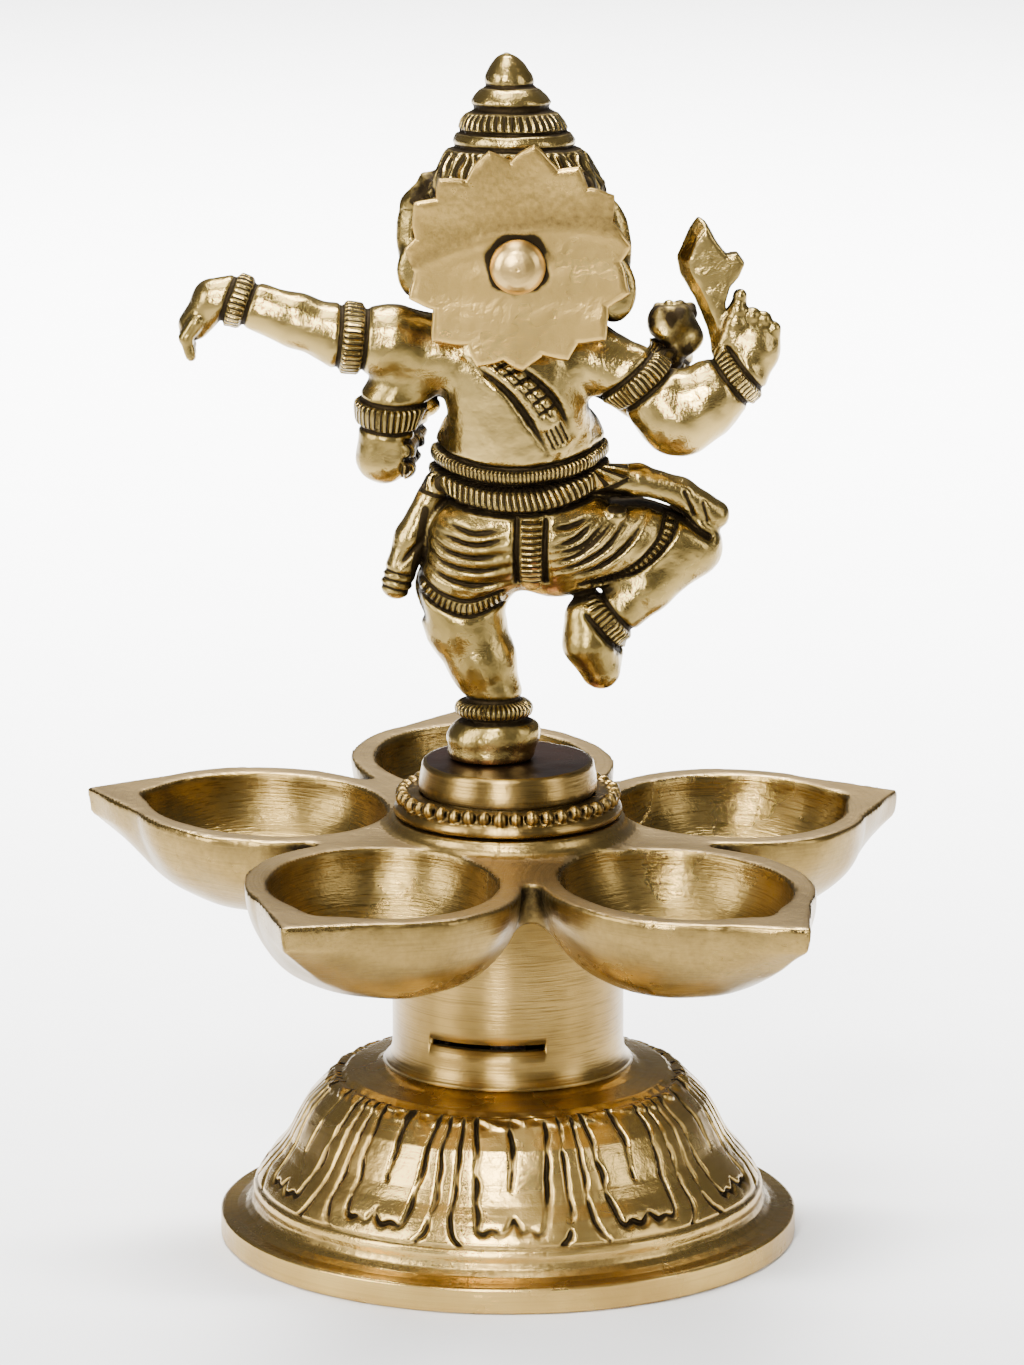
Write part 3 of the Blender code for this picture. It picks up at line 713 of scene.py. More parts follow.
def crown_shape(x, y, z):
    """The crown, from its height and width at each ring."""
    out, up, _ = crown_place(x, y, z)
    rings = [(-5.0, 14.0), (-3.0, 13.2), (0.8, 11.2), (1.35, 9.6), (1.9, 10.1), (2.6, 10.0), (3.5, 9.5)]
    rings += [(3.85, 8.4), (4.3, 9.1), (5.6, 8.6), (6.7, 7.7), (7.3, 6.2), (7.9, 6.1), (8.5, 6.6)]
    rings += [(9.6, 6.0), (10.6, 5.0), (11.2, 3.7), (11.8, 4.0), (13.0, 3.8), (14.6, 2.9)]
    rings += [(16.0, 1.7), (16.8, 0.0)]
    return (out - np.interp(up, *zip(*rings))) * 0.8


def model_head(clay):
    clay.oval((0.9, 2.0, 168), (13.4, 10.5, 15.2), soft=2)
    clay.oval((0.9, 8.5, 170.5), (8.8, 6.5, 8.0), soft=2.5)
    for side in (-1, 1):
        clay.oval((0.9 + side * 4.0, 11.0, 173.0), (3.6, 3.4, 3.6), soft=2)
        clay.oval((0.9 + side * 7.0, 9.5, 163.0), (4.2, 4.6, 5.0), soft=2)
    trunk = [(1, 11, 167, 5.4), (1.5, 15.2, 159, 4.4), (2.5, 17.2, 151.5, 3.7), (2.6, 18.4, 145, 3.2)]
    clay.limb(*trunk, soft=2)
    curl = [(2.6, 18.4, 145, 3.2), (0.5, 19.3, 140.4, 2.8), (-3.6, 20.0, 138.2, 2.5)]
    clay.limb(*curl, (-7.8, 20.0, 138.8, 2.1), soft=1)
    clay.limb((-7.8, 20.0, 138.8, 2.1), (-10.6, 19.8, 140.4, 1.8), soft=1)
    for side in (-1, 1):
        tusk = [(1 + side * 4.6, 12.0, 160.0, 1.7), (1 + side * 6.2, 17.0, 156.8, 1.2)]
        clay.limb(*tusk, (1 + side * 6.0, 19.0, 156.2, 0.7), soft=0.6)
    clay.add((-14, -16, 178), (16, 14, 204), crown_shape, soft=0.5)
    clay.limb((RIVET[0], -2, RIVET[2], 5.0), (RIVET[0], -8.6, RIVET[2], 3.6), soft=1)


def model_ears(clay):
    clay.oval((-12.5, 1.5, 170.6), (6.0, 1.9, 9.0), soft=1.2, turn=(0, 8, -12))
    clay.oval((-14.6, 0.8, 163.5), (3.6, 1.6, 4.6), soft=1.5)
    clay.oval((14.2, 1.5, 168.0), (6.2, 1.9, 9.8), soft=1.2, turn=(0, -8, 12))
    clay.oval((17.6, 0.8, 160.4), (3.6, 1.6, 5.4), soft=1.5)


def carve_face(clay):
    for side in (-1, 1):
        x = 0.9 + side * 5.8
        clay.oval((x, 13.2, 167.6), (1.7, 1.0, 1.05), soft=0.3)
        front_score(clay, [(x - 2.4, 167.4), (x, 169.2), (x + 2.4, 167.2)], 0.7, 0.45, 9)
        front_score(clay, [(x - 2.2, 166.8), (x, 165.8), (x + 2.2, 166.9)], 0.5, 0.4, 9)
        front_score(clay, [(x - 3.0, 171.2), (x, 172.4), (x + 3.2, 171.0)], 0.4, 0.5, 8)
        ear = 0.9 + side * 14.4
        fold = [(ear - side * 2.5, 175.5), (ear + side * 1.4, 171.5), (ear + side * 0.8, 164.5)]
        front_score(clay, fold, 0.6, 0.6, 0)
    for ring in range(9):
        z = 162.5 - 2.3 * ring
        front_score(clay, [(-2.6, z + 0.3), (1.8 + 0.08 * ring, z - 0.7), (6.4, z + 0.3)], 0.35, 0.38, 12.5)
    ridged_band(clay, (0.9, 5, 176), (0.9, 2, 182), 0.5, 1.3, 0.5, 34, 0.4, 16)


def carve_crown(clay):
    """The dark grooves between the crown's rings, the ridges of its middle ring, and the hair below it."""
    low = (-18, -14, 170)
    high = (19, 14, 204)

    def grooves(x, y, z):
        _, up, _ = crown_place(x, y, z)
        rings = ((1.35, 0.5), (3.85, 0.4), (7.6, 0.75), (11.2, 0.42))
        return sum(np.exp(-(((up - height) / half) ** 2)) for height, half in rings)

    def under_crown(up):
        return np.clip((1.0 - up) / 0.8, 0, 1) * np.clip((up + 9.5) / 1.5, 0, 1)

    def ridged(x, y, z):
        _, up, angle = crown_place(x, y, z)
        ring = np.clip((1.35 - np.abs(up - 5.5)) / 0.3, 0, 1)
        strands = angle * 46 + 0.7 * np.sin(up * 1.4 + 6 * angle)
        return np.maximum(ring, under_crown(up)), np.where(up > 2, angle * 42, strands) / tau

    def locks(x, y, z):
        _, up, angle = crown_place(x, y, z)
        return under_crown(up) * 0.34 * np.cos(angle * 15 + 1.1 * np.sin(up * 0.9))

    clay.lines.append((low, high, grooves))
    clay.ridges.append((low, (19, 6, 204), ridged))
    clay.emboss((-18, -14, 170), (19, 7, 187), locks)


def carve_back(clay):
    """The sash, the belts, the central strip and the folds of the cloth."""
    left = [(-7.4, 151.0), (-5.0, 149.2), (-0.3, 145.4), (3.4, 140.4), (7.6, 133.2)]
    right = [(0.4, 150.6), (3.0, 148.6), (6.7, 144.9), (9.0, 141.2), (10.4, 137.4)]
    score(clay, left, 1.0, 0.55, -2)
    score(clay, right, 1.0, 0.55, -2)
    middle = [((a + c) / 2, (b + d) / 2) for (a, b), (c, d) in zip(left, right)]
    score(clay, middle, -0.55, 1.3, -2, False)
    score(clay, [(x + 0.7, z + 0.2) for x, z in middle[:-1]], 0.45, 0.22, -2, False)
    score(clay, [(x - 0.5, z - 0.2) for x, z in middle[:-1]], 0.30, 0.2, -2, False)
    sash = smooth_path(middle, 5)
    for x, z in sash[2:-6:2]:
        score(clay, [(x - 0.2, z - 0.2), (x + 1.9, z + 1.0)], 0.7, 0.34, -2, False)
    for number in range(4):
        x = 6.2 + 0.75 * number
        z = 136.8 + 0.45 * number
        score(clay, [(x, z + 1.6), (x + 1.3, z - 1.3)], 0.5, 0.24, -2, False)
    carve_belts(clay)
    carve_folds(clay)


def belt_height(x, lift):
    """The belts sag in the middle of the back and rise a little to the right."""
    return lift + 0.012 * (x - 1.5) ** 2 + 0.02 * (x - 1.5)


def carve_belt(clay, lift, half, height, ridges, slant):
    """One belt round the waist: a raised roll, a dark groove above and below, and slanting ridges."""
    low = (-17, -17, lift - half - 3)
    high = (20, 21, lift + half + 5)

    def off(x, z):
        return z - belt_height(x, lift)

    def edge(x, z):
        return np.exp(-(((np.abs(off(x, z)) - half - 0.4) / 0.42) ** 2))

    def roll(x, y, z):
        raised = np.sqrt(np.clip(1 - (off(x, z) / (half + 0.25)) ** 2, 0, 1))
        return height * raised * np.clip((15.5 - x) / 2, 0.3, 1) - 0.8 * edge(x, z) + 0 * y

    def ridged(x, y, z):
        amount = np.clip((half - np.abs(off(x, z))) / 0.35 + 0.5, 0, 1)
        return amount, (np.arctan2(x - 2, -(y - 3)) * ridges + slant * off(x, z)) / tau

    clay.emboss(low, high, roll)
    clay.lines.append((low, high, lambda x, y, z: edge(x, z)))
    clay.ridges.append((low, high, ridged))


def carve_belts(clay):
    carve_belt(clay, 130.3, 1.25, 0.7, 100, 0.3)
    carve_belt(clay, 126.7, 1.75, 1.3, 68, 1.3)


def carve_folds(clay):
    for x in (1.5, 6.2):
        score(clay, [(x, 123.6), (x - 0.2, 118), (x, 113.2)], 1.1, 0.55, -2, False)
    score(clay, [(3.9, 123.6), (3.8, 113.2)], -0.35, 1.1, -2, False)
    ridge_row(clay, [(3.9, 123.8), (3.8, 112.6)], 1.6, 1.03, BACK_Y, -2)
    left = [
        [(-10.6, 122.9), (-5.4, 121.4), (-0.4, 122.5)],
        [(-12.2, 121.2), (-5.4, 119.6), (0.8, 121.2)],
        [(-13.6, 120.3), (-10.1, 118.2), (-4.8, 117.4), (0.8, 118.6)],
        [(-14.0, 118.0), (-10.1, 115.9), (-4.8, 115.1), (1.3, 116.2)],
        [(-14.2, 115.6), (-9.6, 113.3), (-4.2, 112.4), (0.6, 113.4)],
    ]
    right = [
        [(6.8, 122.4), (10.0, 122.6), (13.7, 123.8)],
        [(7.4, 119.6), (10.9, 120.5), (14.4, 123.4)],
        [(7.2, 118.1), (12.4, 119.6), (16.8, 123.8)],
        [(6.6, 116.5), (11.4, 117.9), (15.9, 121.4), (18.0, 123.8)],
        [(6.6, 114.9), (11.8, 116.2), (16.8, 119.3), (20.6, 124.6)],
        [(9.4, 113.6), (15.0, 115.3), (19.9, 119.0), (23.4, 124.0)],
    ]
    for fold in left + right:
        score(clay, fold, 0.85, 0.42, 0)
        score(clay, [(x + 0.1, z - 0.95) for x, z in fold], -0.3, 0.5, 0)
    score(clay, [(-13.6, 124.2), (-14.6, 118.5), (-15.4, 112.0), (-14.2, 106.0)], 1.3, 0.7, 3, False)
    for rise in (0, -2.7):
        hem = [(-14.6, 113.4 + rise), (-11.1, 110.9 + rise), (-6.3, 109.6 + rise), (-1.0, 111.2 + rise)]
        score(clay, hem, 0.7, 0.4, 3, False)
    ridge_row(clay, [(-14.8, 111.9), (-11.1, 109.3), (-6.3, 108.1), (-1.0, 109.8)], 1.0, 0.95, BACK_Y, 3)
    for shift in (0, 2.4):
        hem = [(12.0 + shift, 112.0), (19.0 + shift, 113.8), (24.2 + shift, 118.4), (26.0 + shift, 122.6)]
        score(clay, hem, 0.7, 0.42, 3, False)
    ridge_row(clay, [(13.2, 112.0), (20.2, 113.9), (25.4, 118.4), (27.2, 122.6)], 0.9, 0.95, BACK_Y, 3)


def model_cloth(clay):
    clay.limb((-11.8, 0.5, 128, 2.2), (-16.0, 0, 119, 2.7), (-18.4, -0.2, 111.4, 2.7), soft=0.8)
    score(clay, [(-14.2, 119.2), (-17.8, 114.9)], 0.8, 0.5, 3)
    for z in (113.4, 112.0, 110.6):
        score(clay, [(-21.6, z + 0.9), (-16.0, z - 0.5)], 0.5, 0.3, 3, False)
    tail = [(13.5, 1, 128.6, 2.8), (21.5, 2.5, 128.0, 2.8), (28.5, 4, 125.6, 2.7), (34.2, 4.8, 121.8, 2.5)]
    clay.limb(*tail, soft=0.8)
    score(clay, [(17.0, 124.6), (24.4, 124.4), (33.2, 118.6)], 1.1, 0.6, 5, False)
    score(clay, [(15.4, 126.6), (20.0, 126.2)], 0.8, 0.5, 5)
    score(clay, [(29.2, 126.4), (30.6, 122.4)], 0.6, 0.35, 5, False)
    score(clay, [(32.2, 124.4), (33.0, 121.2)], 0.5, 0.3, 5, False)
    clay.oval((17.4, -2.5, 123.4), (2.4, 2.6, 1.9), soft=0.6)


def ring_ornaments(clay):
    """Armlets, bangles and anklets."""
    ridged_band(clay, (-19, -1, 152.2), (-26.7, -1.5, 153.0), 0.86, 1.6, 0.5, 38)
    ridged_band(clay, (-34.5, -1, 155.6), (-44.6, 0, 159.0), 0.94, 1.3, 0.45, 30)
    ridged_band(clay, (-19.7, 0, 141), (-20.5, 1, 132.6), 0.12, 1.9, 0.5, 34, 0.6)
    ridged_band(clay, (18.0, -1.5, 149.4), (24.6, -1.5, 141.9), 0.5, 1.6, 0.5, 40, 0.7)
    ridged_band(clay, (34.0, -1.5, 143.5), (41.8, -1.5, 149.7), 0.5, 1.2, 0.45, 40, 0.6, 6.5)
    ridged_band(clay, (22.3, 8.5, 141.5), (27.0, 9.5, 147.4), 0.9, 1.2, 0.4, 30, 0.4, 6)
    ridged_band(clay, (-20.5, 1, 132.6), (-18.5, 12, 133.6), 0.9, 1.3, 0.4, 30, 0.4, 6)
    ridged_band(clay, (20.6, 0.5, 108.1), (13.0, 0.5, 101.7), 0.5, 1.4, 0.6, 34, 0.6, 6.2)
    ridged_band(clay, (-2.3, -0.3, 93.5), (-2.3, -0.3, 87.1), 0.5, 1.3, 0.3, 46, 0.5, 8)


def carve_front(clay):
    """What the back doesn't show: necklaces, the navel, the front folds and the beaded sash."""
    for drop, width in ((0, 9), (3.2, 11.5), (6.6, 13.5)):
        side = 153 - drop * 0.3
        front_score(clay, [(0.9 - width, side), (0.9, 147.5 - drop), (0.9 + width, side)], -0.7, 0.7, 2)
    front_score(clay, [(2.2, 131.4), (2.6, 130.6)], 1.6, 1.0, 12)
    for number in range(6):
        z = 119.5 - 2.0 * number
        front_score(clay, [(-13, z + 2.2), (-4, z), (3, z + 1.0)], 0.6, 0.45, 3)
        front_score(clay, [(5, z + 1.0), (12, z + 0.6), (20, z + 3.4)], 0.6, 0.45, 3)
    front_score(clay, [(4, 122), (3.6, 112)], -0.9, 1.6, 4)
    for z in range(112, 122, 2):
        front_score(clay, [(2.6, z), (5.0, z)], 0.6, 0.35, 4)
    for number in range(3):
        front_score(clay, [(-9.5 + number * 0.6, 86), (-9.5 + 2.4 * number, 82)], 0.3, 0.3, 8)


def knob_lumps(x, y, z):
    """The little fist behind the axe is a rough cast lump."""
    spot = np.stack(np.broadcast_arrays(x, y, z), -1)
    lumps = noise(spot.reshape(-1, 3), 2.2, 14).reshape(spot.shape[:3])
    return np.clip((6.0 - np.hypot(x - 27.6, z - 153.0)) / 1.5, 0, 1) * 0.42 * lumps


def darker_hair(x, y, z):
    """The hair under the crown is darkened in patches, fading out lower down."""
    low = np.clip((z - 173.0) / 3.0, 0, 1)
    spot = np.stack([x, y, z], -1)
    return low * np.clip(0.42 + 0.16 * noise(spot, 2.0, 17), 0, 0.6)


def knob_grime(x, y, z):
    """The fist was never polished."""
    spot = np.stack([x, y, z], -1)
    ball = np.clip(5.6 - np.hypot(x - 27.6, z - 153.2), 0, 1)
    return ball * np.clip(0.44 + 0.2 * noise(spot, 1.5, 12), 0, 0.8)


def make_figure(material):
    clay = Clay((-57, BACK_Y, 80.5), (49, 26, 203), GRAIN)
    for shape in (model_body, model_legs, model_arms, model_head, model_ears, carve_back):
        shape(clay)
    for shape in (model_cloth, ring_ornaments, carve_crown, carve_face, carve_front, model_axe):
        shape(clay)
    clay.cut((-40, -40, 60), (40, 40, DRUM_TOP), lambda x, y, z: z - DRUM_TOP - 0.1 + 0 * x * y)
    clay.cut((-30, -30, 150), (30, HALO_Y, 190), lambda x, y, z: y - HALO_Y - 1.05 + 0 * x * z)
    clay.lines.append(((21.0, -2, 147), (34, 14, 160), knob_grime))
    clay.lines.append(((-16, -14, 173), (18, 16, 181.5), darker_hair))
    piece = clay_piece("figure_casting", clay, material, "figure_group", 0.055, 5)
    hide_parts("figure")


# The halo and its rivet.


TIPS = [(105, 18.4), (82, 19.1), (57, 18.3), (34, 19.0), (7, 18.6), (-17, 19.0), (-43, 19.5), (-64, 18.6)]
TIPS += [(-88, 18.5), (-110, 19.0), (-136, 19.3), (-160, 18.8), (-185, 18.4), (-209, 19.2), (-226, 18.4)]
NOTCHES = [(94, 16.2), (66, 16.1), (46, 16.4), (22, 16.6), (-1, 16.9), (-28, 16.7), (-55, 17.1)]
NOTCHES += [(-76, 16.5), (-98, 17.0), (-120, 16.5), (-149, 16.1), (-173, 16.9), (-192, 17.2)]
NOTCHES += [(-217, 16.7), (-237, 15.6)]


def halo_edge(angle):
    """The disc's edge: hand-filed teeth, each with a steep side and a long one."""
    stations = [place for pair in zip(TIPS, NOTCHES) for place in pair]
    stations.append((TIPS[0][0] - 360, TIPS[0][1]))
    turns = -np.radians([place[0] for place in stations])
    radii = np.array([place[1] for place in stations])
    start = turns[0]
    place = (-angle - start) % tau + start
    rough = np.interp(place, turns, radii)
    return rough + 0.12 * np.sin(angle * 23) * np.sin(angle * 7)


def over_crease(points):
    """Height above the curved crease that crosses the plate's upper half."""
    across = points[:, 0] - RIVET[0]
    return points[:, 2] - RIVET[2] - 5.2 - 0.16 * across + 0.012 * across**2


def plate_bend(points):
    """The hammered plate leans back above its crease."""
    over = over_crease(points)
    lean = -0.19 * np.logaddexp(0, over / 0.8) * 0.8 - 0.16 * np.exp(-((over / 1.3) ** 2))
    return lean + 0.10 * noise(points * [1, 0, 1], 7.0, 33) + 0.05 * noise(points * [0.3, 0, 1], 2.2, 34)


def make_halo(material):
    centre = np.array([RIVET[0], HALO_Y, RIVET[2] + 1.0])
    steps = 720
    angle = tau * np.arange(steps) / steps
    edge = halo_edge(angle)
    hole = 2.0 + 0 * angle
    rings = []
    for share in (*np.linspace(0, 0.32, 17), 0.4, 0.5, 0.6, 0.7, 0.8, 0.9, 0.965, 1.0):
        inner = np.stack([RIVET[0] + hole * np.cos(angle), RIVET[2] + hole * np.sin(angle)], 1)
        outer = np.stack([centre[0] + edge * np.cos(angle), centre[2] + edge * np.sin(angle)], 1)
        rings.append(inner + (outer - inner) * share)
    points = []
    for side, thick in ((-1, 0.75), (1, 0.75)):
        order = rings if side < 0 else rings[::-1]
        for number, ring in enumerate(order):
            rim = number in (0, len(order) - 1)
            flat = np.stack([ring[:, 0], 0 * ring[:, 0], ring[:, 1]], 1)
            wave = 0.14 * noise(flat, 14.0, 21)
            level = centre[1] + side * (thick - 0.28 * rim) + wave
            points.append(np.stack([ring[:, 0], level, ring[:, 1]], 1))
    row = np.arange(len(points))[:, None] * steps
    step = np.arange(steps)[None]
    after = (step + 1) % steps
    below = np.roll(row, -1)
    faces = np.stack([row + step, row + after, below + after, below + step], -1).reshape(-1, 4)
    points = np.concatenate(points)
    # Painted shadow in the gap round the rivet: a ragged dark ring on the plate, reaching further out on
    # its upper side.
    near = np.hypot(points[:, 0] - RIVET[0], points[:, 2] - RIVET[2])
    ragged = near + 0.45 * noise(points, 1.6, 8) - 0.5 * (points[:, 2] - RIVET[2]) / (near + 1)
    hollow = np.clip((5.9 - ragged) / 1.0, 0, 1) * 0.9
    over = over_crease(points)
    # Painted shade over the plate's upper half above the crease, mottled and darkest in a band along the
    # crease itself; it goes into the cavity values.
    stain_and_shade = 0.41 + 0.12 * noise(points * [0.4, 1, 1], 6.0, 35) + 0.12 * np.exp(-((over / 2.2) ** 2))
    stain_and_shade = np.clip(0.5 + 0.5 * over, 0, 1) * stain_and_shade
    hollow = np.maximum(hollow, stain_and_shade)
    piece = add_piece("halo_plate", points, faces, material, "halo", hollow)
    bend = piece.data.attributes.new("bend", "FLOAT", "POINT")
    bend.data.foreach_set("value", plate_bend(points).astype(np.float32))
    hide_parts("halo_disc")


def make_rivet(material):
    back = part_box("halo_rivet")[0][1] / MM - AXIS[1]
    under = HALO_Y - 1.15
    reach = 4.55
    profile = [(0.02, back + 0.1), (1.4, back + 0.12), (2.8, back + 0.42), (3.8, back + 1.05)]
    profile += [(reach - 0.1, back + 1.9), (reach, back + 2.5), (reach, under)]
    profile += [(1.5, under), (1.5, under + 5.5), (0.02, under + 5.5)]
    points, faces, hollow = revolve(fine(profile, 0.35), 72)
    points = np.stack([points[:, 0], points[:, 2], points[:, 1]], 1)
    dents = 0.16 * noise(points, 4.5, 30)
    points[:, 1] += np.where(points[:, 1] < back + 2.2, dents, 0)
    points = points + [RIVET[0], 0, RIVET[2]]
    # Painted shade on the head's side where it meets the plate, and over the shank.
    hollow = np.clip((points[:, 1] - (under - 0.8)) / 0.8, 0, 1)
    piece = add_piece("rivet_head", points, faces[:, ::-1], material, "figure_group", hollow)
    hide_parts("halo_rivet")


# The tray of cups.

CUPS = 5
FIRST_CUP = radians(24.2)
RIM_Z = 70.0
LEAN = (-0.0346, 0.0327)
CUP_CENTRE = 40.9
CUP_TIP = 72.4
TIP_REACH = (72.4, 71.9, 72.2, 72.5, 72.4)
PROW = 22.6


def cup_outline(turn, tip=CUP_TIP):
    """The outer edge about the cup's centre: round, with two straight sides that meet in a point."""
    half = np.arccos(PROW / (tip - CUP_CENTRE))
    return 22.5 + 0.9 * np.cos(turn) ** 2, PROW / np.cos(np.clip(half - np.abs(turn), 0, 1.2))


def cavity_outline(turn):
    oval = 1 / np.sqrt((np.cos(turn) / 20.0) ** 2 + (np.sin(turn) / 18.2) ** 2)
    return oval + 1.5 * np.exp(-((turn / 0.16) ** 2))


def cup_place(x, y, number):
    """Distance from a cup's centre, and the angle there from the way the cup points."""
    way = FIRST_CUP + tau * number / CUPS
    out = x * cos(way) + y * sin(way) - CUP_CENTRE
    side = y * cos(way) - x * sin(way)
    return np.hypot(out, side), np.arctan2(side, out)


def rim_height(x, y):
    return RIM_Z + LEAN[0] * x + LEAN[1] * y


def bowl_distance(share, deep, depth, power):
    """A bowl whose edge is at share 1 and whose bottom is at the depth."""
    return (((share**power) + np.clip(deep / depth, 0, 9) ** power) ** (1 / power) - 1) * depth * 0.85


def make_tray(material):
    clay = Clay((-76, -76, 46), (76, 76, 76), GRAIN * 1.25)
    x, y, z = clay.window(clay.low, clay.low + 200)[1]
    rim = rim_height(x, y)
    deep = rim - z
    solid = np.full(clay.field.shape, 9.0, np.float32)
    hollow = np.full(clay.field.shape, 9.0, np.float32)
    for number in range(CUPS):
        out, turn = cup_place(x, y, number)
        wobble = 1 + 0.008 * np.sin(3 * turn + number) + 0.006 * np.sin(2 * turn + 2.1 * number)
        belly, prow = cup_outline(turn, TIP_REACH[number])
        edge = belly + np.maximum(prow - belly, 0) * np.clip(1 - (deep - 4.3) / 9.5, 0, 1) ** 1.3
        cup = bowl_distance(out / (edge * wobble), deep, 17.6 + 0.4 * sin(2.3 * number), 2.25)
        solid = melted(solid, cup, 2.2)
        hollow = np.minimum(hollow, bowl_distance(out / (cavity_outline(turn) * wobble), deep, 14.4, 2.1))
    radius = np.hypot(x, y) + 0 * z
    web = np.maximum(radius - 33.0, deep - 6.5)
    solid = melted(solid, web, 3.0)
    solid = shared(solid, -deep, 0.5)
    flare = 19.3 + 2.6 * np.exp(-np.clip(z - 69.2, 0, 9) / 0.9)
    hub = shared(radius - flare, z - HUB_TOP + 0 * x, 0.5)
    hub = np.maximum(hub, 64.0 - z)
    solid = np.where(z > 64, -shared(-solid, -hub, 1.2), solid)
    solid = shared(solid, -hollow, 0.8)
    seat = np.maximum(radius - 19.7, z - 63.2)
    solid = shared(solid, -seat, 0.4)
    boss = np.maximum(radius - 8.0, np.maximum(50.0 - z, z - 66.0))
    solid = np.minimum(solid, boss)
    solid = np.maximum(solid, -np.maximum(radius - 3.3, z - 61.5))
    solid = np.maximum(solid, -np.maximum(radius - 2.8, 63.5 - z))
    clay.field = np.asarray(solid, np.float32)
    points, faces = surface_of(clay)
    piece = finish_tray(clay, points, faces, material)
    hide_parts("cup_tray")


def finish_tray(clay, points, faces, materials):
    """Marks the crevices and the rough casting under the hub, and finishes rim, bowls and body."""
    hollow = hollows(clay, points, (1.2, 2.4, 4.0))
    radius = np.hypot(points[:, 0], points[:, 1])
    deep = rim_height(points[:, 0], points[:, 1]) - points[:, 2]
    inside = np.zeros(len(points), bool)
    strokes = strokes_round(*points.T)
    for number in range(CUPS):
        out, turn = cup_place(points[:, 0], points[:, 1], number)
        bowl = bowl_distance(out / cavity_outline(turn), deep, 14.4, 2.1) < 0.5
        inside |= bowl
        near = bowl | (out < 31)
        around = strokes_round(out * np.cos(turn), out * np.sin(turn), deep)
        strokes[near] = around[near] + 10 * number
    inside &= deep > 0.25
    rough = np.clip((30 - radius) / 5, 0, 1) * np.clip((deep - 3) / 2, 0, 1) * ~inside
    hollow = np.where(inside, hollow * 0.25, hollow)
    hollow = np.clip(hollow + rough * (0.15 + 0.2 * noise(points, 1.5, 3)), 0, 1.2)
    bumps = np.where(inside, 0.10, 0.16) * noise(points, 5.0, 41) + rough * 0.35 * noise(points, 1.4, 42)
    points = points + clay.normals(points) * np.where(deep < 0.3, 0, bumps)[:, None]
    piece = add_piece("tray_casting", points, faces, materials[0], "stand", hollow, strokes=strokes)
    for extra in materials[1:]:
        piece.data.materials.append(extra)
    which = np.where(inside, 1, np.where((deep < 0.22) & (radius > 21), 2, 0))
    corners = which[faces]
    kind = np.where((corners == 2).sum(1) >= 3, 2, np.where((corners == 1).sum(1) >= 2, 1, 0))
    piece.data.polygons.foreach_set("material_index", kind.astype(np.int32))
    return piece


# The base, the column and the pedestal.

PETALS = 11
PETAL_WIDTH = 22.0
PETAL_TOP = 26.4
DOME = [(28.9, 27.6), (29.7, 26.9), (31.4, 25.3), (33.3, 23.3), (34.5, 21.3), (35.6, 19.2), (36.6, 17.2)]
DOME += [(38.1, 15.1), (39.9, 13.1), (41.3, 11.1), (42.3, 9.4)]


def petal_turn(angle):
    """How far round each place is from its petal's middle, from -0.5 to 0.5."""
    share = ((angle + radians(89)) / tau) % 1
    turn = share * PETALS - 0.08 * np.sin(tau * share)
    return (turn + 0.5) % 1 - 0.5


def carve_petals(angle, radius, height):
    """The dome's grooves: tongues, the lines down their middles and the pairs of lines between."""
    turn = petal_turn(angle)
    u = turn * PETAL_WIDTH
    spot = np.stack([radius * np.cos(angle), radius * np.sin(angle), height], -1)
    shake = noise(spot.reshape(-1, 3), 2.4, 51).reshape(u.shape)
    u = u + 0.22 * shake
    v = height + 0.18 * np.roll(shake, 7, 1)
    side = np.abs(u)
    tongue = [(7.0, PETAL_TOP + 1), (6.2, 20), (5.4, 13.6), (5.1, 12.1)]
    tongue += [(4.3, 11.5), (3.0, 11.9), (1.5, 11.5), (0.0, 13.0)]
    line = [(9.5, PETAL_TOP + 1), (9.4, 19), (9.3, 13.4), (8.7, 11.0), (7.4, 9.6)]
    deep = 1.0 * np.exp(-((path_distance(side, v, smooth_path(tongue)) / 0.46) ** 2))
    deep = np.maximum(deep, 0.85 * np.exp(-((path_distance(side, v, smooth_path(line)) / 0.42) ** 2)))
    stem = path_distance(u, v, [(0.1, PETAL_TOP + 1), (0.0, 17.8)])
    deep = np.maximum(deep, 1.0 * np.exp(-((stem / (0.35 + 0.035 * np.clip(v - 17, 0, 9))) ** 2)))
    dome = (height > 9.5) & (height < 28) & (radius > 28.0)
    deep = deep * np.clip(0.8 + 0.45 * np.roll(shake, 11, 0), 0.35, 1)
    depth = np.where(dome, 1.0 * deep, 0)
    lips = np.exp(-(((deep - 0.28) / 0.18) ** 2)) * np.clip(0.3 + 0.5 * np.roll(shake, 3, 1), 0, 1)
    depth = depth - np.where(dome, 0.28 * lips, 0)
    collar = np.exp(-(((height - 27.0) / 0.75) ** 2)) * (radius > 26.5)
    rough = collar * (0.35 * noise(spot.reshape(-1, 3), 1.1, 52).reshape(u.shape) + 0.1)
    foot = np.exp(-(((height - 9.35) / 0.35) ** 2)) * (radius > 41)
    # Painted shade in the recess under the dome's lower band, above the flange.
    recess = np.exp(-(((height - 6.6) / 0.9) ** 2)) * (radius > 42) * 0.32
    # The flange's flat top is made darker.
    darker_flange_top = 0.20 * (radius > 42.9) * (height > 4.2)
    hollow = np.where(dome, deep * 1.05, 0) + 0.45 * foot + recess + darker_flange_top
    hollow = hollow + 0.35 * collar * np.clip(0.5 + rough, 0, 1)
    return depth - rough + 0.35 * foot, hollow


